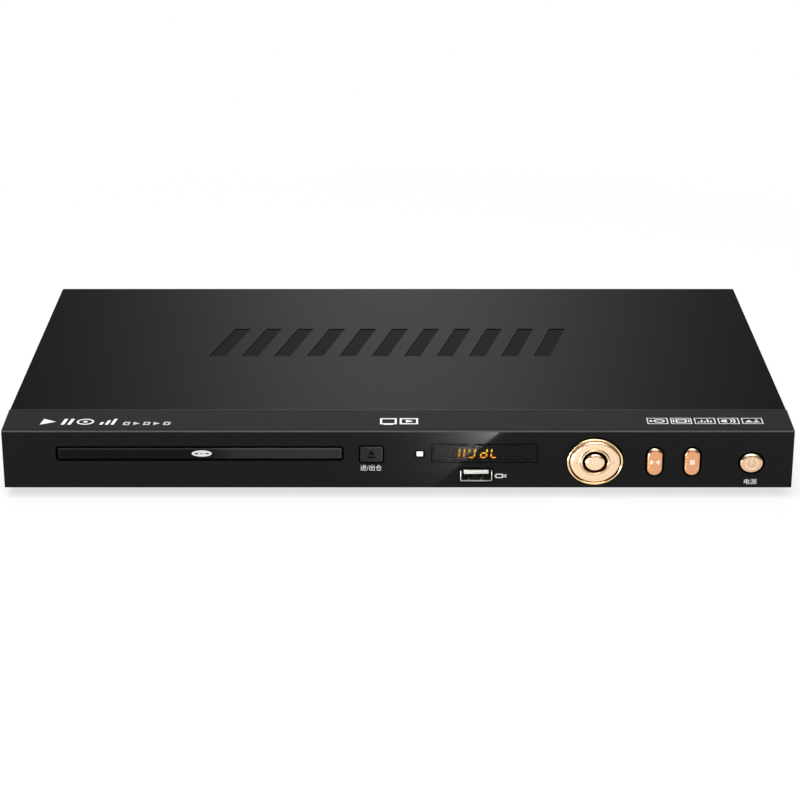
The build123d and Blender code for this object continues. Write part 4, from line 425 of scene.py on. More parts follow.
def makeFlatCable():
    # polyester film over tinned conductors, 1 mm apart
    material, tree, shader, coords = startFinish("polyesterFlatCable", {"IOR": 1.55, "Roughness": 0.3})
    parts = addNode(tree, "ShaderNodeSeparateXYZ", inputs={"Vector": coords})
    wave = addNode(tree, "ShaderNodeMath", {"operation": "PINGPONG"}, {0: parts.outputs["X"], 1: 0.5 * mm})
    line = addNode(tree, "ShaderNodeMapRange", inputs={
        "Value": wave, "From Min": 0.22 * mm, "From Max": 0.28 * mm})
    tone = addNode(tree, "ShaderNodeMix", {"data_type": "RGBA"}, {
        "Factor": line, "A": linear("#dedcd4"), "B": linear("#9a9890")})
    tree.links.new(tone.outputs["Result"], shader.inputs["Base Color"])
    return material


def makeSmokedWindow():
    # dyed acrylic behind a thin hard coat, which alone mirrors: lit segments shine through it
    material, tree, shader, coords = startFinish("smokedAcrylic", {
        "Base Color": linear("#5a5a5b"), "IOR": 1.01, "Transmission Weight": 0.89,
        "Coat Weight": 0.04, "Coat Roughness": 0.06, "Coat IOR": 1.5})
    # the sheet is a little uneven over 25 mm
    noise = addNode(tree, "ShaderNodeTexNoise", inputs={"Vector": coords, "Scale": 1 / (25 * mm)})
    rough = addNode(tree, "ShaderNodeMapRange", inputs={"Value": noise, "To Min": 0.05, "To Max": 0.07})
    tree.links.new(rough.outputs[0], shader.inputs["Roughness"])
    return material


display = {
    "z": front["top"] - 11.5, "depth": 1.9, "digits": (("1", 25.3), ("1", 27.6), ("U", 32.4), ("d", 37.9), ("L", 42.6))}


def makeAmber():
    # lit segments: yellow at the top of each digit, orange at its foot
    material, tree, shader, coords = startFinish("litAmberSegments", {
        "Base Color": linear("#2a1400"), "Roughness": 0.4, "Emission Strength": 20.0})
    parts = addNode(tree, "ShaderNodeSeparateXYZ", inputs={"Vector": coords})
    height = addNode(tree, "ShaderNodeMapRange", inputs={
        "Value": parts.outputs["Z"], "From Min": (display["z"] - 2.2) * mm, "From Max": (display["z"] + 2.6) * mm})
    tone = addNode(tree, "ShaderNodeMix", {"data_type": "RGBA"}, {
        "Factor": height, "A": linear("#ff9414"), "B": linear("#ffd636")})
    tree.links.new(tone.outputs["Result"], shader.inputs["Emission Color"])
    return material


# moulded front: high gloss face, satin strip and keys, and painted matt black shade where the light doesn't reach
wear(makeCoverPaint(), "top_cover")
wear(makeFrontAbs(), "front_fascia", "drawer_surround", "control_panel")
wear(makeBevelledAbs("polishedDoorAbs", door), "tray_door")
wear(makeBevelledAbs("satinKeyAbs", eject), "eject_button")
# painted shade: matt black for the walls of the keys and the ring's well
wallShadeAbs = plainFinish("paintedShadeAbs", ("#060606", "#080808"), (0.5, 0.6), 0.3, level=0.1)
gapAbs = plainFinish("shadedGapAbs", ("#010101", "#020202"), (0.7, 0.8), 0.3, 0, level=0.0)

# printed inks: thin, even and a little rough, with no relief
whiteInk = plainFinish("screenPrintedInk", ("#e9e9e9", "#f4f4f4"), (0.45, 0.55), 0.1, 0)
badgeInk = plainFinish("silverScreenPrint", ("#d6d6d6", "#dedede"), (0.4, 0.5), 0.1, 0)
greyInk = plainFinish("greyScreenPrint", ("#b4b4b6", "#bebec0"), (0.45, 0.55), 0.1, 0)
blackInk = plainFinish("blackPadPrint", ("#020202", "#040404"), (0.4, 0.5), 0.1, 0, level=0.03)
skipInk = plainFinish("warmGreyPrint", ("#a5826a", "#b08d74"), (0.45, 0.55), 0.1, 0)

# gold plating: spun round the ring and the round keys, brushed along the oblong ones; painted shade in the flanks of
# the rim, and a painted highlight on the upper shoulders of the keys
goldSpun = makeGold("spunRoseGold", ("#f4cfa9", "#fde3c2"), 0.24, spin=ring, depth=0.002)
goldBright = makeGold("polishedRoseGold", ("#f8d29b", "#ffe2b0"), 0.12)
goldBrushed = makeGold("brushedCopperGold", ("#e09a70", "#f0b488"), 0.26, stretch=(1, 1, 0.08), depth=0.002)
goldPower = makeGold("spunPowerGold", ("#e3b390", "#f1cda9"), 0.26, spin=power, depth=0.002)
# painted shade: a darker copy of the gold for the flanks of the rim
goldShade = makeGold("shadedGoldFlank", ("#a5692c", "#b8793a"), 0.3)
# pale gold for the raised marks, and as painted highlight on the keys' upper shoulders
goldMarkAndHighlight = makeGold("paleGoldMarkAndHighlight", ("#ffe9c8", "#fff3dc"), 0.3)

# display: milky light pipe, smoked window, dark glass and lit segments
wear(plainFinish("frostedPolycarbonate", ("#f4f4f4", "#ffffff"), (0.35, 0.45), 0.2, 0, more={
    "Emission Color": linear("#ffffff"), "Emission Strength": 0.35}), "standby_light")
wear(makeSmokedWindow(), "display_window")
wear(plainFinish("displayGlass", ("#2c2c2d", "#333334"), (0.3, 0.4), 0.6, 0, level=0.04), "display_module")
amber = makeAmber()

# bare metals: bright nickel, spangled zinc, drawn and ground steel with a fine sheen
wear(makeShellSteel(), "usb_shell")
tongueSteel = plainFinish("nickelCladTongue", ("#7d7b77", "#8a8884"), (0.3, 0.4), 0.3, 0.001, metallic=1.0)
wear(
    plainFinish("nickelPlatedSteel", ("#c9c7c2", "#d8d6d1"), (0.16, 0.24), 0.3, 0.001, metallic=1.0),
    "jack_barrels", "video_socket", "mains_pins")
wear(
    plainFinish("galvanisedSheet", ("#8d9093", "#a4a7aa"), (0.28, 0.45), 1.2, 0.001, metallic=1.0),
    "chassis_base", "rear_panel", "clamp_bridge", "clamper_plate", "board_pillars")
screwSteel = wear(
    plainFinish("zincPlatedScrew", ("#a7a9ab", "#b9bbbd"), (0.25, 0.35), 0.3, 0.001, metallic=1.0),
    "cover_screws", "panel_screws", "board_screws", "loader_screws")
motorSteel = wear(
    plainFinish("drawnMotorCan", ("#a6a8aa", "#bcbec0"), (0.2, 0.32), 0.3, 0.001, metallic=1.0, stretch=(1, 1, 0.1)),
    "tray_motor", "spindle_motor", "sled_motor")
groundSteel = wear(
    plainFinish("groundSteelRod", ("#c8cacc", "#dadcde"), (0.08, 0.15), 0.2, 0.0005, metallic=1.0),
    "gear_pins", "guide_rods", "lead_screw")
wear(plainFinish("anodisedAluminium", ("#1b1c1e", "#242528"), (0.35, 0.45), 0.2, 0.002, metallic=1.0), "heatsink")
wear(plainFinish("dieCastCarriage", ("#2b2c2f", "#37383b"), (0.4, 0.5), 0.3, 0.004, metallic=0.6), "pickup")

# moulded plastics and rubber: fine grain, duller the more they are filled
wear(
    plainFinish("glassFilledPbt", ("#0a0a0a", "#0f0f0f"), (0.4, 0.5), 0.15, 0.002),
    "usb_tongue", "jack_block", "mains_inlet")
wear(makePhonoColours(), "jack_inserts")
wear(plainFinish("mouldedBlackAbs", ("#121213", "#19191a"), (0.42, 0.55), 0.25), "loader_frame")
wear(plainFinish("glassFilledAbs", ("#1c1c1e", "#26262a"), (0.5, 0.6), 0.2, 0.005), "deck", "turntable")
wear(plainFinish("satinTrayAbs", ("#151516", "#1b1b1c"), (0.35, 0.45), 0.3, 0.003), "disc_tray")
wear(
    plainFinish("whiteAcetal", ("#d9d7cf", "#e7e5dd"), (0.3, 0.4), 0.4, 0.002),
    "clamper", "motor_pulley", "belt_pulley", "tray_gear", "lift_cam")
wear(plainFinish("mouldedRubber", ("#101010", "#171717"), (0.65, 0.8), 0.25, 0.006, level=0.3), "rubber_feet")
wear(plainFinish("beltRubber", ("#0d0d0d", "#141414"), (0.6, 0.75), 0.3, 0.003, level=0.3), "drive_belt")

# parts of the boards: glossy solder mask, dull epoxy and ferrite, shiny sleeves and film
wear(
    plainFinish("solderMaskOnFr4", ("#0c3a1d", "#124a27"), (0.18, 0.26), 0.4, 0.003),
    "front_board", "main_board", "power_board")
wear(plainFinish("mouldedEpoxy", ("#131314", "#1a1a1b"), (0.5, 0.62), 0.1, 0.003), "board_chips", "key_switches")
wear(plainFinish("shrunkSleeve", ("#101528", "#151b33"), (0.25, 0.35), 0.6, 0.002), "board_capacitors")
wear(plainFinish("sinteredFerrite", ("#2a2623", "#36302c"), (0.5, 0.65), 0.3), "transformer")
wear(plainFinish("filmCapacitorCase", ("#b58a19", "#c69b28"), (0.35, 0.45), 0.3, 0.002), "power_parts")
wear(makeFlatCable(), "ribbon_cable")
wear(plainFinish("coatedLens", ("#2b3f78", "#3a5296"), (0.02, 0.05), 1, 0, level=0.8, more={
    "Coat Weight": 0.6, "Coat Roughness": 0.08}), "pickup_lens")
ceramic = plainFinish("ceramicChipParts", ("#8d7a5e", "#a89068"), (0.4, 0.5), 0.4, 0)
print("finishes made")


# Gold ring, its bezel and the key inside

goldRing = shellOnFace(
    "goldRing", (ring["x"], ring["z"]), (ring["width"], ring["height"]), None,
    [(0.0, -5.0), (0.0, 0.3), (0.1, 0.55), (0.3, 0.78), (0.6, 0.95), (1.0, 1.06), (1.5, 1.11), (2.2, 1.1),
     (4.25, 0.92), (4.4, 0.96), (4.7, 1.2), (4.9, 1.36), (5.2, 1.38), (5.5, 1.2), (5.75, 0.8), (5.9, -5.0)],
    goldSpun, closed=True, count=160, pull=ring["pull"],
)
shadeWalls(goldRing, wallShadeAbs, well=(ring["x"], ring["z"], *ring["well"], ring["wellRim"]))


def onFlank(face):
    # the two flanks of the rim round the well, by their share of the ring's own ellipse
    x, z = face.center.x / mm - ring["x"], face.center.z / mm - ring["z"]
    inset = 0.0
    while inset < 6:
        reach = (ring["width"] / 2 - inset, ring["height"] / 2 - inset * ring["pull"])
        if (x / reach[0]) ** 2 + (z / reach[1]) ** 2 >= 1:
            break
        inset += 0.05
    return 4.4 < inset < 4.72 or inset > 5.5


# painted shade: the two flanks of the rim take the darker gold
recolour(goldRing, goldShade, onFlank)
declare(goldRing, "control_ring", "rose_gold_plating", "control_ring")
goldBezel = shellOnFace(
    "goldBezel", (ring["x"], ring["z"]), ring["bezel"], None,
    [(0.0, 0.0), (0.0, 0.35), (0.15, 0.7), (0.4, 0.88), (0.7, 0.9), (0.95, 0.75), (1.1, 0.4),
     (1.12, -2.1), (0.6, -2.1), (0.6, 0.0)],
    goldBright, closed=True, count=160,
)
declare(goldBezel, "cabinet", "rose_gold_plating", "ring_bezel")
enterKey = shellOnFace(
    "enterKey", (enter["x"], enter["z"]), (enter["width"], enter["height"]), None,
    [(0.0, -6.0), (0.0, 0.38), (0.1, 0.52), (0.3, 0.66), (0.65, 0.82), (1.1, 0.94), (1.7, 0.99), (2.3, 1.0)],
    goldSpun, count=120,
)
shadeWalls(enterKey, wallShadeAbs, 0.3)
declare(enterKey, "enter_button", "rose_gold_plating", "enter_button")


# Two oblong keys and the power key

def facesUp(face):
    return face.normal.z > 0.5


for name, node, x in (("playKey", "play_button", oblong["play"]), ("stopKey", "stop_button", oblong["stop"])):
    key = shellOnFace(
        name, (x, oblong["z"]), (oblong["width"], oblong["height"]), oblong["corner"],
        [(0.0, -2.4), (0.0, 0.1), (0.1, 0.35), (0.3, 0.56), (0.7, 0.79), (1.2, 0.95), (1.7, 1.0), (2.1, 1.0)],
        goldBrushed,
    )
    shadeWalls(key, wallShadeAbs)
    # painted highlight: faces turned upwards take the pale gold
    recolour(key, goldMarkAndHighlight, facesUp)
    declare(key, node, "rose_gold_plating", node)
powerKey = shellOnFace(
    "powerKey", (power["x"], power["z"]), (power["width"], power["height"]), None,
    [(0.0, -2.4), (0.0, 0.1), (0.12, 0.38), (0.35, 0.6), (0.7, 0.78), (1.15, 0.92), (1.7, 0.99), (2.2, 1.0)],
    goldPower, count=120,
)
shadeWalls(powerKey, wallShadeAbs)
# painted highlight: faces turned upwards take the pale gold
recolour(powerKey, goldMarkAndHighlight, facesUp)
declare(powerKey, "power_button", "rose_gold_plating", "power_button")
print("gold keys made")


# Signs on the keys and the face

def triangle(x, z, wide, high, way):
    return [(x - way * wide / 2, z - high / 2), (x + way * wide / 2, z), (x - way * wide / 2, z + high / 2)]


def frameShape(x, z, width, height, line, lean=0.0):
    # outline of a leaning box: outer and inner points
    wide, high = width / 2, height / 2
    outer = barShape(x - wide, z - high, x + wide, z + high, lean)
    return [outer, barShape(x - wide + line, z - high + line, x + wide - line, z + high - line, lean)]


def ringShape(x, z, radiusX, radiusZ, line):
    return [roundShape(x, z, radiusX, radiusZ), roundShape(x, z, radiusX - line, radiusZ - line)]


def lay(name, body, slot, shapes, spot, material, thick=0.03):
    return declare(printOn(name, shapes, spot, material, thick), body, slot)


def inFront(stand):
    return lambda x, z, out: onFace(x, z, stand + out)


# raised marks of the gold keys, on the domed tops
markZ = oblong["z"]
lay("playSign", "play_button", "rose_gold_plating", [
    triangle(oblong["play"] + 1.15, markZ + 0.1, 1.9, 2.8, -1),
    triangle(oblong["play"] - 1.15, markZ + 0.1, 1.9, 2.8, 1)], inFront(0.97), goldMarkAndHighlight, 0.06)
lay("stopSign", "stop_button", "rose_gold_plating", [
    barShape(oblong["stop"] - 1.1, markZ - 1.1, oblong["stop"] + 1.1, markZ + 1.1)], inFront(0.97), goldMarkAndHighlight, 0.06)
lay("powerSign", "power_button", "rose_gold_plating", [
    arcShape(power["x"], power["z"], 2.9, 2.45, 120, 420),
    barShape(power["x"] - 0.25, power["z"] + 0.1, power["x"] + 0.25, power["z"] + 2.9)], inFront(0.97), goldMarkAndHighlight, 0.06)
skipMarks = []
for x, way in ((79.9, -1), (81.3, -1), (98.2, 1), (99.6, 1)):
    skipMarks.append([
        (x - way * 0.45, ring["z"] - 1.1), (x + way * 0.55, ring["z"] - 0.2),
        (x - way * 0.45, ring["z"] + 0.7), (x - way * 0.2, ring["z"] - 0.2)])
lay("skipMarks", "control_ring", "rose_gold_plating", skipMarks, inFront(1.0), skipInk, 0.04)
lay("enterSign", "enter_button", "rose_gold_plating", [
    triangle(88.9, ring["z"] - 0.3, 1.3, 1.7, 1),
    barShape(89.95, ring["z"] - 1.1, 90.3, ring["z"] + 0.5),
    barShape(90.65, ring["z"] - 1.1, 91.0, ring["z"] + 0.5)], inFront(0.99), goldMarkAndHighlight, 0.06)
x, z = eject["x"], eject["z"]
lay("ejectSign", "eject_button", "key_grey_plastic", [
    [(x - 1.7, z - 0.2), (x + 1.7, z - 0.2), (x, z + 2.0)], barShape(x - 1.8, z - 1.85, x + 1.8, z - 1.0)],
    inFront(0.21), blackInk)

# signs on the strip, by x and the distance from its front edge: a player's marks at the left,
# a screen in the middle, five badges at the right
stripPrint = {
    "middle": 10.4, "markSize": 6.4, "badge": (9.6, 6.6), "badgeMiddle": 11.3, "firstBadge": 118.8,
    "badgeStep": 10.85, "line": 0.5}
low, high = (stripPrint["middle"] + way * stripPrint["markSize"] / 2 for way in (-1, 1))
middle = stripPrint["middle"]
lay("playerMarks", "cabinet", "white_light_pipe", [
    [(-163.5, low), (-156.5, middle), (-162.3, high)],
    barShape(-154.0, low, -152.4, high, 1.2),
    barShape(-151.0, low, -149.4, high, 1.2),
    ringShape(-143.0, middle, 4.0, stripPrint["markSize"] / 2, 0.9), roundShape(-143.0, middle, 1.1, 0.9),
    barShape(-136.4, low, -135.0, middle - 0.4, 0.6),
    barShape(-133.8, low, -132.4, middle + 1.6, 1.0),
    barShape(-131.2, low, -129.8, high, 1.2),
], onStrip, whiteInk)
smallMarks = []
for number in range(5):
    x = -124.2 + number * 4.6
    if number % 2:
        smallMarks.append([(x - 1.3, 6.8), (x + 1.7, 8.5), (x - 1.3, 10.2)])
    else:
        smallMarks.append(frameShape(x, 8.5, 3.0, 3.4, 0.8, 0.4))
lay("smallMarks", "cabinet", "white_light_pipe", smallMarks, onStrip, greyInk)
lay("screenMarks", "cabinet", "white_light_pipe", [
    frameShape(-4.4, 11.0, 7.6, 6.6, 0.9), barShape(-6.6, 7.0, -2.2, 7.5),
    frameShape(5.0, 11.0, 8.4, 6.6, 0.9), [(3.6, 9.4), (7.0, 11.0), (3.6, 12.6)],
], onStrip, whiteInk)


def badgePicture(number, x, z):
    # disc, film strip, level bars, loudspeaker and landscape
    if number == 0:
        return [ringShape(x + 0.8, z, 2.6, 1.9, 0.8), barShape(x - 3.6, z - 0.9, x - 2.4, z + 0.9)]
    if number == 1:
        edges = [barShape(x + side, z - 1.5, x + side + 0.7, z + 1.5) for side in (-3.8, 3.1)]
        return [frameShape(x, z, 5.0, 3.6, 0.8)] + edges
    if number == 2:
        levels = [z - 0.7 + (bar * 3 % 5) * 0.6 for bar in range(5)]
        return [barShape(x - 3.3 + bar * 1.4, z - 1.7, x - 2.5 + bar * 1.4, levels[bar]) for bar in range(5)]
    if number == 3:
        horn = [(x - 3.4, z - 0.9), (x - 0.8, z - 1.9), (x - 0.8, z + 1.9), (x - 3.4, z + 0.9)]
        return [horn, arcShape(x - 0.6, z, 2.4, 1.7, -50, 50), arcShape(x - 0.6, z, 3.8, 3.1, -40, 40)]
    hills = [[(x - 3.6, z - 1.6), (x + 0.4, z - 1.6), (x - 1.6, z + 1.1)],
             [(x + 0.2, z - 1.6), (x + 3.6, z - 1.6), (x + 1.9, z + 0.3)]]
    return hills + [roundShape(x + 1.9, z + 1.2, 0.7, 0.5)]


badgeFrames, badgeSigns = [], []
for number in range(5):
    x = stripPrint["firstBadge"] + number * stripPrint["badgeStep"]
    badgeFrames.append(frameShape(x, stripPrint["badgeMiddle"], *stripPrint["badge"], stripPrint["line"]))
    badgeSigns += badgePicture(number, x, stripPrint["badgeMiddle"])
lay("badgeFrames", "cabinet", "white_light_pipe", badgeFrames, onStrip, badgeInk)
lay("badgeSigns", "cabinet", "white_light_pipe", badgeSigns, onStrip, badgeInk)

# disc sign on the drawer
discSign = {"x": -89.3, "z": door["z"]}
lay("discSign", "drawer", "white_light_pipe", [
    ringShape(discSign["x"], discSign["z"], 4.6, 1.5, 1.05),
    ringShape(discSign["x"], discSign["z"], 1.9, 0.62, 0.5)], onFace, whiteInk)


def layWords(name, words, middle, size, material, thick=0.03):
    # plain words for what a key does, sized to their place on the face
    curve = bpy.data.curves.new(name, "FONT")
    curve.body = words
    holder = addObject(name + "Curve", curve)
    bpy.context.view_layer.update()
    flat = bpy.data.meshes.new_from_object(holder.evaluated_get(bpy.context.evaluated_depsgraph_get()))
    bpy.data.objects.remove(holder)
    low, high = spanOf([corner.co for corner in flat.vertices])

    def build(shape):
        shape.from_mesh(flat)
        for corner in shape.verts:
            part = [(corner.co[axis] - low[axis]) / (high[axis] - low[axis]) - 0.5 for axis in (0, 1)]
            corner.co = onFace(middle[0] + part[0] * size[0], middle[1] + part[1] * size[1])
        grown = bmesh.ops.extrude_face_region(shape, geom=shape.faces[:])
        for item in grown["geom"]:
            if isinstance(item, bmesh.types.BMVert):
                item.co.y -= thick * mm

    return declare(makeMesh(name, build, material, 20), "cabinet", "white_light_pipe")


layWords("openWord", "\u8fdb/\u51fa\u4ed3", (-12.3, 14.75), (9.8, 2.9), whiteInk)
layWords("powerWord", "\u7535\u6e90", (power["x"], 7.9), (5.8, 2.7), whiteInk)
# a plug beside the data socket
lay("plugSign", "cabinet", "white_light_pipe", [
    frameShape(46.2, 10.7, 3.2, 2.0, 0.35), barShape(47.8, 10.1, 49.6, 10.45),
    barShape(47.8, 10.95, 49.6, 11.3), barShape(44.0, 10.5, 44.6, 10.9)], onFace, whiteInk)


# Painted shade: a matt black line laid on the face in the moulded gap round each piece of the front

def shadeRound(name, node, gap, line, corner, size=None):
    low, high = boxOf(node)
    x, z = (low.x + high.x) / 2 / mm, (low.z + high.z) / 2 / mm
    size = size or ((high.x - low.x) / mm, (high.z - low.z) / mm)
    loops = [
        [(x + px, z + pz) for px, pz in outline(size[0], size[1], corner, -out)] for out in (gap + line, gap)]
    lay(name, "cabinet", "gloss_black_plastic", [loops], onFace, gapAbs, 0.02)


# gap, width of the line, corner radius (None: oval), and the seen size of what has a hidden flange
gapLines = {
    "tray_door": (0.5, 0.6, 0.4),
    "display_window": (0.0, 0.3, 0.8),
    "usb_shell": (0.05, 0.6, 0.9),
    "ring_bezel": (0.0, 0.5, None),
    "eject_button": (0.25, 0.5, 0.5, (eject["width"], eject["height"])),
    "standby_light": (0.1, 0.45, 0.3, (3.5, 2.5)),
    "play_button": (0.25, 0.45, 3.65, (7.3, 13.4)),
    "stop_button": (0.25, 0.45, 3.65, (7.3, 13.4)),
    "power_button": (0.25, 0.45, None, (10.9, 9.5)),
}
for number, (node, shade) in enumerate(gapLines.items()):
    shadeRound("gapLine%d" % number, node, *shade)


# Segment display behind the window: the bars that each sign lights

digit = {"width": 2.6, "height": 4.4, "bar": 0.52, "lean": 0.5, "gap": 0.3}
segmentsOf = {"1": "bc", "U": "bcdf", "d": "bcdeg", "L": "def"}


def digitShapes(sign, x, z):
    wide, half, thin, gap = digit["width"], digit["height"] / 2, digit["bar"] / 2, digit["gap"]

    def across(level):
        left, right = thin + gap, wide - thin - gap
        return [(gap, level), (left, level + thin), (right, level + thin),
                (wide - gap, level), (right, level - thin), (left, level - thin)]

    def upright(side, low, high):
        foot, top = low + thin + gap, high - thin - gap
        return [(side, low + gap), (side + thin, foot), (side + thin, top),
                (side, high - gap), (side - thin, top), (side - thin, foot)]

    bars = {
        "g": across(0.0), "d": across(-half), "f": upright(0.0, 0.0, half), "b": upright(wide, 0.0, half),
        "e": upright(0.0, -half, 0.0), "c": upright(wide, -half, 0.0),
    }
    return [[(x + px + pz * digit["lean"] / half / 2, z + pz) for px, pz in bars[name]] for name in segmentsOf[sign]]


litBars = []
for sign, x in display["digits"]:
    litBars += digitShapes(sign, x, display["z"])
lay("litDigits", "cabinet", "display_segments", litBars, inFront(-display["depth"]), amber, 0.05)
print("signs made")


# Metal face of the data socket's tongue, and the two springs in its floor

socket = {
    "x": 35.75, "half": 5.65, "tongue": (11.2, 13.1), "tongueDepth": (1.3, 6.0),
    "springs": (32.5, 38.2), "springDepth": 1.9, "springFloor": 8.35, "springSize": (0.85, 1.4, 0.95)}


def buildTongue(shape):
    low = (socket["x"] - socket["half"], front["y"] + socket["tongueDepth"][0], socket["tongue"][0])
    high = (socket["x"] + socket["half"], front["y"] + socket["tongueDepth"][1], socket["tongue"][1])
    for corner in bmesh.ops.create_cube(shape, size=1.0)["verts"]:
        corner.co = Vector([(low[i] + high[i]) / 2 + corner.co[i] * (high[i] - low[i]) for i in range(3)]) * mm


def buildSprings(shape):
    wide, deep, high = socket["springSize"]
    for x in socket["springs"]:
        for corner in bmesh.ops.create_uvsphere(shape, u_segments=16, v_segments=8, radius=1.0)["verts"]:
            corner.co = Vector((
                x + corner.co.x * wide, front["y"] + socket["springDepth"] + corner.co.y * deep,
                socket["springFloor"] + max(corner.co.z, 0) * high)) * mm


for name, build in (("tongueFace", buildTongue), ("socketSprings", buildSprings)):
    declare(makeMesh(name, build, tongueSteel, 30), "cabinet", "nickel_plate")
print("socket made")


# Small parts that repeat: each tree below places one shape on the points or paths that it gets

def startTree(name, sizes):
    tree = bpy.data.node_groups.new(name, "GeometryNodeTree")
    kinds = {int: "NodeSocketInt", float: "NodeSocketFloat", tuple: "NodeSocketVector"}
    tree.interface.new_socket("Geometry", in_out="INPUT", socket_type="NodeSocketGeometry")
    for label, value in sizes.items():
        tree.interface.new_socket(label, in_out="INPUT", socket_type=kinds[type(value)]).default_value = value
    tree.interface.new_socket("Material", in_out="INPUT", socket_type="NodeSocketMaterial")
    tree.interface.new_socket("Geometry", in_out="OUTPUT", socket_type="NodeSocketGeometry")
    return tree, addNode(tree, "NodeGroupInput").outputs


def endTree(tree, shape, size):
    real = addNode(tree, "GeometryNodeRealizeInstances", inputs={"Geometry": shape})
    coated = addNode(tree, "GeometryNodeSetMaterial", inputs={"Geometry": real, "Material": size["Material"]})
    addNode(tree, "NodeGroupOutput", inputs={"Geometry": coated})


def growOn(name, tree, carrier, values, material, body, slot, *replaced):
    # runs the tree over a mesh of points, edges or faces and keeps the result as a plain mesh
    piece = addObject(name, carrier)
    modifier = piece.modifiers.new(name, "NODES")
    modifier.node_group = tree
    values = {**values, "Material": material}
    for item in tree.interface.items_tree:
        if item.in_out == "INPUT" and item.name in values:
            modifier[item.identifier] = values[item.name]
    grown = bpy.data.meshes.new_from_object(piece.evaluated_get(bpy.context.evaluated_depsgraph_get()))
    piece.modifiers.clear()
    piece.data = grown
    shape = bmesh.new()
    shape.from_mesh(grown)
    smoothMesh(grown, shape, 2e-6, 30)
    return declare(piece, body, slot, *replaced)


def solidsOf(name):
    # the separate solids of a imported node, each as a list of its corners
    shape = bmesh.new()
    shape.from_mesh(nodes[name].data)
    bmesh.ops.remove_doubles(shape, verts=shape.verts, dist=1e-6)
    solids, seen = [], set()
    for start in shape.verts:
        if start in seen:
            continue
        seen.add(start)
        stack, solid = [start], []
        while stack:
            corner = stack.pop()
            solid.append(corner.co.copy())
            for edge in corner.link_edges:
                other = edge.other_vert(corner)
                if other not in seen:
                    seen.add(other)
                    stack.append(other)
        solids.append(solid)
    shape.free()
    return solids


def pointsMesh(name, places):
    # places: (place, facing, length, spread), kept as attributes that the tree reads
    mesh = bpy.data.meshes.new(name)
    mesh.from_pydata([place[0] for place in places], [], [])
    facing = mesh.attributes.new("facing", "FLOAT_VECTOR", "POINT")
    facing.data.foreach_set("vector", [value for place in places for value in place[1]])
    for number, label in ((2, "length"), (3, "spread")):
        extra = mesh.attributes.new(label, "FLOAT", "POINT")
        extra.data.foreach_set("value", [place[number] for place in places])
    return mesh


def makeScrewTree():
    # pan head with a cross recess on each point, and its shank behind it
    tree, size = startTree("crossRecessScrews", {
        "Head Radius": 2.7 * mm, "Head Height": 1.4 * mm, "Roundness": 0.42, "Recess Length": 3.2 * mm,
        "Recess Width": 0.75 * mm, "Recess Depth": 0.9 * mm, "Shank Radius": 1.4 * mm})
    ball = addNode(tree, "GeometryNodeMeshUVSphere", inputs={"Segments": 28, "Rings": 16, "Radius": 1.0})
    where = addNode(tree, "GeometryNodeInputPosition")
    where = addNode(tree, "ShaderNodeSeparateXYZ", inputs={"Vector": where})
    over = addNode(tree, "ShaderNodeMath", {"operation": "MAXIMUM"}, {0: where.outputs["Z"], 1: 0.0})
    over = addNode(tree, "ShaderNodeMath", {"operation": "POWER"}, {0: over, 1: size["Roundness"]})
    up = addNode(tree, "ShaderNodeMath", {"operation": "MULTIPLY"}, {0: over, 1: size["Head Height"]})
    across = addNode(tree, "ShaderNodeMath", {"operation": "MULTIPLY"}, {0: where.outputs["X"], 1: size["Head Radius"]})
    along = addNode(tree, "ShaderNodeMath", {"operation": "MULTIPLY"}, {0: where.outputs["Y"], 1: size["Head Radius"]})
    spot = addNode(tree, "ShaderNodeCombineXYZ", inputs={"X": across, "Y": along, "Z": up})
    dome = addNode(tree, "GeometryNodeSetPosition", inputs={"Geometry": ball, "Position": spot})
    deep = addNode(tree, "ShaderNodeMath", {"operation": "MULTIPLY"}, {0: size["Recess Depth"], 1: 2.0})
    level = addNode(tree, "ShaderNodeCombineXYZ", inputs={"Z": size["Head Height"]})
    cut = addNode(tree, "GeometryNodeMeshBoolean", {"operation": "DIFFERENCE"}, {"Mesh 1": dome})
    for wide, long in ((size["Recess Length"], size["Recess Width"]), (size["Recess Width"], size["Recess Length"])):
        span = addNode(tree, "ShaderNodeCombineXYZ", inputs={"X": wide, "Y": long, "Z": deep})
        bar = addNode(tree, "GeometryNodeMeshCube", inputs={"Size": span})
        bar = addNode(tree, "GeometryNodeTransform", inputs={"Geometry": bar, "Translation": level})
        tree.links.new(bar.outputs[0], cut.inputs["Mesh 2"])
    facing, length, spread = (
        addNode(tree, "GeometryNodeInputNamedAttribute", {"data_type": kind}, {"Name": label})
        for label, kind in (("facing", "FLOAT_VECTOR"), ("length", "FLOAT"), ("spread", "FLOAT")))
    turned = addNode(tree, "FunctionNodeAlignRotationToVector", {"axis": "Z"}, {"Vector": facing})
    heads = addNode(tree, "GeometryNodeInstanceOnPoints", inputs={
        "Points": size["Geometry"], "Instance": cut, "Rotation": turned, "Scale": spread})
    rod = addNode(tree, "GeometryNodeMeshCylinder", inputs={
        "Vertices": 16, "Radius": size["Shank Radius"], "Depth": 1.0})
    rod = addNode(tree, "GeometryNodeTransform", inputs={"Geometry": rod, "Translation": (0.0, 0.0, -0.5)})
    reach = addNode(tree, "ShaderNodeCombineXYZ", inputs={"X": 1.0, "Y": 1.0, "Z": length})
    shanks = addNode(tree, "GeometryNodeInstanceOnPoints", inputs={
        "Points": size["Geometry"], "Instance": rod, "Rotation": turned, "Scale": reach})
    both = addNode(tree, "GeometryNodeJoinGeometry", inputs={"Geometry": heads})
    tree.links.new(shanks.outputs[0], both.inputs["Geometry"])
    endTree(tree, both, size)
    return tree


screwTree = makeScrewTree()
screwSizes = {"Head Radius": 2.69 * mm, "Head Height": 1.39 * mm, "Shank Radius": 1.4 * mm}
headEdge = 2.6 * mm  # only a head reaches further from the axis than this


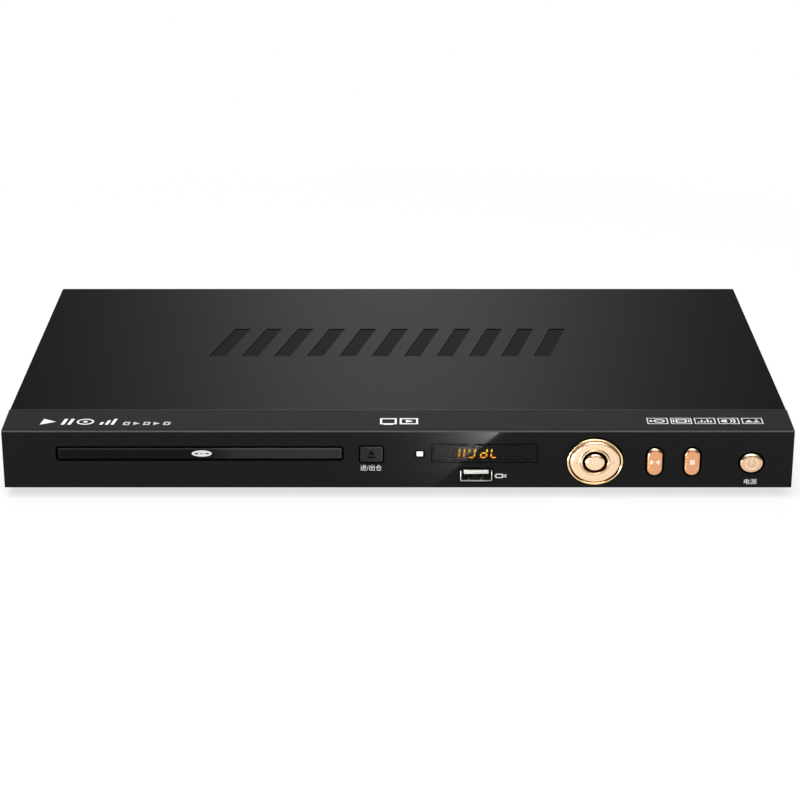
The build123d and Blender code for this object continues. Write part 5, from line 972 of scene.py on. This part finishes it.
def screwPlaces(name):
    # a screw's axis is its long side or the one that differs, and its head is where it is widest
    places = []
    for solid in solidsOf(name):
        low, high = spanOf(solid)
        spans = [high[i] - low[i] for i in range(3)]
        axis = max(range(3), key=lambda i: abs(2 * spans[i] - sum(spans) + spans[i]))
        middle = [(low[i] + high[i]) / 2 for i in range(3)]
        others = [i for i in range(3) if i != axis]
        widest = [corner[axis] for corner in solid
                  if sum((corner[i] - middle[i]) ** 2 for i in others) > headEdge ** 2]
        way = 1 if sum(widest) / len(widest) > middle[axis] else -1
        middle[axis] = max(widest) if way < 0 else min(widest)
        facing = [0, 0, 0]
        facing[axis] = way
        places.append((middle, facing, spans[axis] - screwSizes["Shank Radius"], 1.0))
    return places


for name, node in (
        ("coverScrewHeads", "cover_screws"), ("panelScrewHeads", "panel_screws"),
        ("boardScrewHeads", "board_screws"), ("loaderScrewHeads", "loader_screws")):
    growOn(name, screwTree, pointsMesh(name, screwPlaces(node)), screwSizes,
           screwSteel, "cabinet", "zinc_plated_steel", node)

# vented aluminium tops of the upright capacitors: the spread of a point is its radius in millimetres
topSizes = {
    "Head Radius": 0.86 * mm, "Head Height": 0.12 * mm, "Roundness": 0.2, "Recess Length": 1.1 * mm,
    "Recess Width": 0.07 * mm, "Recess Depth": 0.05 * mm, "Shank Radius": 0.5 * mm}
tops = []
for low, high in map(spanOf, solidsOf("board_capacitors")):
    middle = [(low[0] + high[0]) / 2, (low[1] + high[1]) / 2, high[2] - 0.02 * mm]
    tops.append((middle, (0, 0, 1), 0.1 * mm, (high[0] - low[0]) / 2 / mm))
growOn("capacitorTops", screwTree, pointsMesh("capacitorTops", tops), topSizes, motorSteel, "cabinet", "motor_steel")


def makePinTree():
    # a row of bent pins along each edge that it gets
    tree, size = startTree("chipPins", {
        "Pitch": 1.27 * mm, "Pin Width": 0.42 * mm, "Pin Reach": 1.8 * mm, "Pin Height": 0.9 * mm})
    path = addNode(tree, "GeometryNodeMeshToCurve", inputs={"Mesh": size["Geometry"]})
    path = addNode(tree, "GeometryNodeResampleCurve", {"mode": "LENGTH"}, {"Curve": path, "Length": size["Pitch"]})
    foot = addNode(tree, "ShaderNodeCombineXYZ", inputs={"X": size["Pin Width"], "Y": size["Pin Reach"], "Z": 0.2 * mm})
    foot = addNode(tree, "GeometryNodeMeshCube", inputs={"Size": foot})
    thick = addNode(tree, "ShaderNodeCombineXYZ", inputs={
        "X": size["Pin Width"], "Y": 0.7 * mm, "Z": size["Pin Height"]})
    neck = addNode(tree, "GeometryNodeMeshCube", inputs={"Size": thick})
    half = addNode(tree, "ShaderNodeMath", {"operation": "MULTIPLY"}, {0: size["Pin Height"], 1: 0.5})
    lift = addNode(tree, "ShaderNodeCombineXYZ", inputs={"Z": half})
    neck = addNode(tree, "GeometryNodeTransform", inputs={"Geometry": neck, "Translation": lift})
    both = addNode(tree, "GeometryNodeJoinGeometry", inputs={"Geometry": foot})
    tree.links.new(neck.outputs[0], both.inputs["Geometry"])
    way = addNode(tree, "GeometryNodeInputTangent")
    turned = addNode(tree, "FunctionNodeAlignRotationToVector", {"axis": "X"}, {"Vector": way})
    pins = addNode(tree, "GeometryNodeInstanceOnPoints", inputs={
        "Points": path, "Instance": both, "Rotation": turned})
    endTree(tree, pins, size)
    return tree


def pinEdges(name, node, lift):
    # one edge on each side of every low chip, on the board and clear of its corners
    clear, lowest, square = 1.2 * mm, 3 * mm, 1 * mm
    corners, edges = [], []
    for low, high in map(spanOf, solidsOf(node)):
        if high[2] - low[2] > lowest:
            continue
        sides = [((low[0] + clear, y), (high[0] - clear, y)) for y in (low[1], high[1])]
        if abs((high[0] - low[0]) - (high[1] - low[1])) < square:
            sides += [((x, low[1] + clear), (x, high[1] - clear)) for x in (low[0], high[0])]
        for ends in sides:
            edges.append((len(corners), len(corners) + 1))
            corners += [(x, y, low[2] + lift) for x, y in ends]
    mesh = bpy.data.meshes.new(name)
    mesh.from_pydata(corners, edges, [])
    return mesh


chipEdges = pinEdges("chipPins", "board_chips", 0.12 * mm)
growOn("chipPins", makePinTree(), chipEdges, {}, tongueSteel, "cabinet", "nickel_plate")


def makeWormTree():
    # shaft with a helical thread: made upright, then turned and moved to its start, as the deck leans
    tree, size = startTree("threadedShaft", {
        "Length": 60.0 * mm, "Pitch": 3.0 * mm, "Shaft Radius": 1.2 * mm, "Thread Radius": 0.28 * mm,
        "Start": (0.0, 0.0, 0.0), "Turn": (0.0, 0.0, 0.0)})
    turns = addNode(tree, "ShaderNodeMath", {"operation": "DIVIDE"}, {0: size["Length"], 1: size["Pitch"]})
    helix = addNode(tree, "GeometryNodeCurveSpiral", inputs={
        "Resolution": 20, "Rotations": turns, "Start Radius": size["Shaft Radius"],
        "End Radius": size["Shaft Radius"], "Height": size["Length"]})
    section = addNode(tree, "GeometryNodeCurvePrimitiveCircle", inputs={
        "Resolution": 6, "Radius": size["Thread Radius"]})
    thread = addNode(tree, "GeometryNodeCurveToMesh", inputs={
        "Curve": helix, "Profile Curve": section, "Fill Caps": True})
    rod = addNode(tree, "GeometryNodeMeshCylinder", inputs={
        "Vertices": 24, "Radius": size["Shaft Radius"], "Depth": size["Length"]})
    half = addNode(tree, "ShaderNodeMath", {"operation": "MULTIPLY"}, {0: size["Length"], 1: 0.5})
    lift = addNode(tree, "ShaderNodeCombineXYZ", inputs={"Z": half})
    rod = addNode(tree, "GeometryNodeTransform", inputs={"Geometry": rod, "Translation": lift})
    both = addNode(tree, "GeometryNodeJoinGeometry", inputs={"Geometry": thread})
    tree.links.new(rod.outputs[0], both.inputs["Geometry"])
    placed = addNode(tree, "GeometryNodeTransform", inputs={
        "Geometry": both, "Translation": size["Start"], "Rotation": size["Turn"]})
    endTree(tree, placed, size)
    return tree


shaft = {"endRadius": 1.2, "share": 0.86, "radius": 1.25, "thread": 0.24}  # share: threaded part of its length
low, high = boxOf("lead_screw")
shaftStart = Vector(((low.x + high.x) / 2, low.y, low.z + shaft["endRadius"] * mm))
shaftWay = Vector((shaftStart.x, high.y, high.z - shaft["endRadius"] * mm)) - shaftStart
shaftSizes = {
    "Length": shaftWay.length * shaft["share"], "Shaft Radius": shaft["radius"] * mm,
    "Thread Radius": shaft["thread"] * mm, "Start": shaftStart + shaftWay * (1 - shaft["share"]) / 2,
    "Turn": shaftWay.to_track_quat("Z", "Y").to_euler()[:]}
growOn("threadedShaft", makeWormTree(), bpy.data.meshes.new("threadedShaft"), shaftSizes,
       groundSteel, "lead_screw", "polished_steel")


def makeScatterTree():
    # small ceramic parts strewn over the free areas of a board, square to it
    tree, size = startTree("surfaceParts", {
        "Part": (1.6 * mm, 0.8 * mm, 0.6 * mm), "Spacing": 3.2 * mm, "Density": 60000.0, "Seed": 7})
    spots = addNode(tree, "GeometryNodeDistributePointsOnFaces", {"distribute_method": "POISSON"}, {
        "Mesh": size["Geometry"], "Distance Min": size["Spacing"], "Density Max": size["Density"],
        "Seed": size["Seed"]})
    turn = addNode(tree, "FunctionNodeRandomValue", {"data_type": "INT"}, {4: 0, 5: 1, "Seed": size["Seed"]})
    turn = addNode(tree, "ShaderNodeMath", {"operation": "MULTIPLY"}, {0: turn, 1: pi / 2})
    turned = addNode(tree, "ShaderNodeCombineXYZ", inputs={"Z": turn})
    grown = addNode(tree, "FunctionNodeRandomValue", {"data_type": "FLOAT"}, {2: 0.7, 3: 1.3, "Seed": size["Seed"]})
    part = addNode(tree, "GeometryNodeMeshCube", inputs={"Size": size["Part"]})
    parts = addNode(tree, "GeometryNodeInstanceOnPoints", inputs={
        "Points": spots, "Instance": part, "Rotation": turned, "Scale": grown})
    endTree(tree, parts, size)
    return tree


# free areas of the main board: left, near, right and far edge, at the level of its top
boardTop = 13.7
freeAreas = [
    (0.0, 64.0, 30.0, 82.0), (58.0, 54.0, 88.0, 62.0), (36.0, 64.0, 60.0, 82.0), (60.0, 24.0, 88.0, 38.0),
    (36.0, 16.0, 60.0, 33.0)]
areaMesh = bpy.data.meshes.new("surfaceParts")
corners = []
for left, near, right, far in freeAreas:
    for x, y in ((left, near), (right, near), (right, far), (left, far)):
        corners.append((x * mm, y * mm, boardTop * mm))
areaMesh.from_pydata(corners, [], [tuple(range(first, first + 4)) for first in range(0, len(corners), 4)])
growOn("surfaceParts", makeScatterTree(), areaMesh, {"Seed": 7}, ceramic, "cabinet", "component_black")
print("repeated small parts made")


# Stage, lamps and camera

def makeFloor():
    mesh = bpy.data.meshes.new("studioFloor")
    mesh.from_pydata([(-3, -2.5, 0), (3, -2.5, 0), (3, 4, 0), (-3, 4, 0)], [], [(0, 1, 2, 3)])
    material = bpy.data.materials.new("paleFloorPaper")
    tree = emptyTree(material)
    # seen floor: half its own glow, half light that falls on it, so that the shadow stays
    paper = addNode(tree, "ShaderNodeBsdfDiffuse", inputs={"Color": linear("#f2f2f2")})
    shaded = addNode(tree, "ShaderNodeBsdfDiffuse", inputs={"Color": (0.32, 0.32, 0.32, 1)})
    glow = addNode(tree, "ShaderNodeEmission", inputs={"Color": (1, 1, 1, 1), "Strength": 0.7})
    both = addNode(tree, "ShaderNodeAddShader", inputs={0: shaded, 1: glow})
    # away from the object the seen floor is plain white
    coords = addNode(tree, "ShaderNodeTexCoord").outputs["Object"]
    away = addNode(tree, "ShaderNodeVectorMath", {"operation": "LENGTH"}, {0: coords})
    far = addNode(tree, "ShaderNodeMapRange", inputs={"Value": away, "From Min": 0.22, "From Max": 0.5})
    white = addNode(tree, "ShaderNodeEmission", inputs={"Color": (1, 1, 1, 1), "Strength": 1.0})
    both = addNode(tree, "ShaderNodeMixShader", inputs={0: far, 1: both, 2: white})
    path = addNode(tree, "ShaderNodeLightPath")
    seen = addNode(tree, "ShaderNodeMath", {"operation": "MAXIMUM"}, {
        0: path.outputs["Is Camera Ray"], 1: path.outputs["Is Glossy Ray"]})
    seen = addNode(tree, "ShaderNodeMath", {"operation": "MAXIMUM"}, {0: seen, 1: path.outputs["Is Transmission Ray"]})
    mix = addNode(tree, "ShaderNodeMixShader", inputs={0: seen, 1: paper, 2: both})
    addNode(tree, "ShaderNodeOutputMaterial", inputs={"Surface": mix})
    mesh.materials.append(material)
    addObject("studioFloor", mesh)


def makeWorld():
    world = bpy.data.worlds.new("softStudio")
    bpy.context.scene.world = world
    tree = emptyTree(world)
    way = addNode(tree, "ShaderNodeTexCoord").outputs["Generated"]
    parts = addNode(tree, "ShaderNodeSeparateXYZ", inputs={"Vector": way})
    ramp = addNode(tree, "ShaderNodeValToRGB", inputs={"Fac": parts.outputs["Z"]})
    # the light comes from above: dark below, dim at the horizon, pale overhead
    stops = ramp.color_ramp.elements
    stops[0].color = (0.03, 0.03, 0.032, 1)
    stops[1].color = (0.45, 0.45, 0.45, 1)
    stops.new(0.5).color = (0.07, 0.07, 0.074, 1)
    path = addNode(tree, "ShaderNodeLightPath")
    sky = addNode(tree, "ShaderNodeBackground", inputs={"Color": ramp, "Strength": 1.0})
    white = addNode(tree, "ShaderNodeBackground", inputs={"Color": (1, 1, 1, 1), "Strength": 1.0})
    mix = addNode(tree, "ShaderNodeMixShader", inputs={0: path.outputs["Is Camera Ray"], 1: sky, 2: white})
    addNode(tree, "ShaderNodeOutputWorld", inputs={"Surface": mix})


def addLamp(name, spot, aim, size, power):
    lamp = bpy.data.lights.new(name, "AREA")
    lamp.shape = "RECTANGLE"
    lamp.size, lamp.size_y = size
    lamp.energy = power
    holder = addObject(name, lamp)
    holder.location = spot
    holder.rotation_euler = (Vector(aim) - Vector(spot)).to_track_quat("-Z", "Y").to_euler()
    holder.visible_camera = False


makeFloor()
makeWorld()
# place, aim, size and power of each lamp
addLamp("overheadSoftbox", (-0.3, -0.35, 1.5), (0, 0, 0), (1.2, 0.9), 13.0)
addLamp("frontFill", (0.25, -1.3, 0.95), (0, -0.1, 0.02), (1.1, 0.8), 12.0)
addLamp("rearSoftbox", (0, 5.1, 2.75), (0, 0.0, 0.03), (0.8, 2.2), 120.0)


def makeGlare():
    # a card low in front that only the polished face mirrors: its corner glows and its edge is sharp
    card = {
        "corner": (50.9, -82.0), "far": (64.7, -110.0), "foot": (15.0, -9.0), "left": -75.0, "level": 0.3,
        "reach": (14.1, 26.5), "strength": 150.0}
    mesh = bpy.data.meshes.new("glareCard")
    corners = [card["far"], (card["left"], card["far"][1]), (card["left"], card["foot"][1]), card["foot"]]
    mesh.from_pydata([Vector((x, front["y"] + y, card["level"])) * mm for x, y in corners], [], [(0, 1, 2, 3)])
    piece = addObject("glareCard", mesh)
    material = bpy.data.materials.new("glareCard")
    tree = emptyTree(material)
    coords = addNode(tree, "ShaderNodeTexCoord").outputs["Object"]
    corner = Vector((card["corner"][0], front["y"] + card["corner"][1], card["level"])) * mm
    away = addNode(tree, "ShaderNodeVectorMath", {"operation": "SUBTRACT"}, {0: coords, 1: corner})
    scaled = addNode(tree, "ShaderNodeVectorMath", {"operation": "DIVIDE"}, {
        0: away, 1: (card["reach"][0] * mm, card["reach"][1] * mm, 1.0)})
    length = addNode(tree, "ShaderNodeVectorMath", {"operation": "LENGTH"}, {0: scaled})
    fade = addNode(tree, "ShaderNodeMath", {"operation": "MULTIPLY"}, {0: length, 1: -1.0})
    fade = addNode(tree, "ShaderNodeMath", {"operation": "EXPONENT"}, {0: fade})
    fade = addNode(tree, "ShaderNodeMath", {"operation": "MULTIPLY"}, {0: fade, 1: card["strength"]})
    glow = addNode(tree, "ShaderNodeEmission", inputs={"Color": (1, 1, 1, 1), "Strength": fade})
    clear = addNode(tree, "ShaderNodeBsdfTransparent")
    both = addNode(tree, "ShaderNodeAddShader", inputs={0: clear, 1: glow})
    addNode(tree, "ShaderNodeOutputMaterial", inputs={"Surface": both})
    mesh.materials.append(material)
    piece.visible_camera = piece.visible_diffuse = piece.visible_transmission = piece.visible_shadow = False


makeGlare()

# a long lens in front of the middle of the player, in millimetres from its face and above the ground
photo = {"lens": 102.56, "sensor": 36.0, "shift": 0.0025, "distance": 959.6, "height": 416.2, "tilt": 69.0}
camera = bpy.data.cameras.new("photoCamera")
camera.lens, camera.sensor_width = photo["lens"], photo["sensor"]
camera.shift_x = photo["shift"]
camera.clip_start, camera.clip_end = 0.01, 20.0
cameraHolder = addObject("photoCamera", camera)
cameraHolder.location = (0, (front["y"] - photo["distance"]) * mm, photo["height"] * mm)
cameraHolder.rotation_euler = (radians(photo["tilt"]), 0, 0)
bpy.context.scene.camera = cameraHolder
bpy.context.scene.view_settings.view_transform = "Standard"
print("stage made")
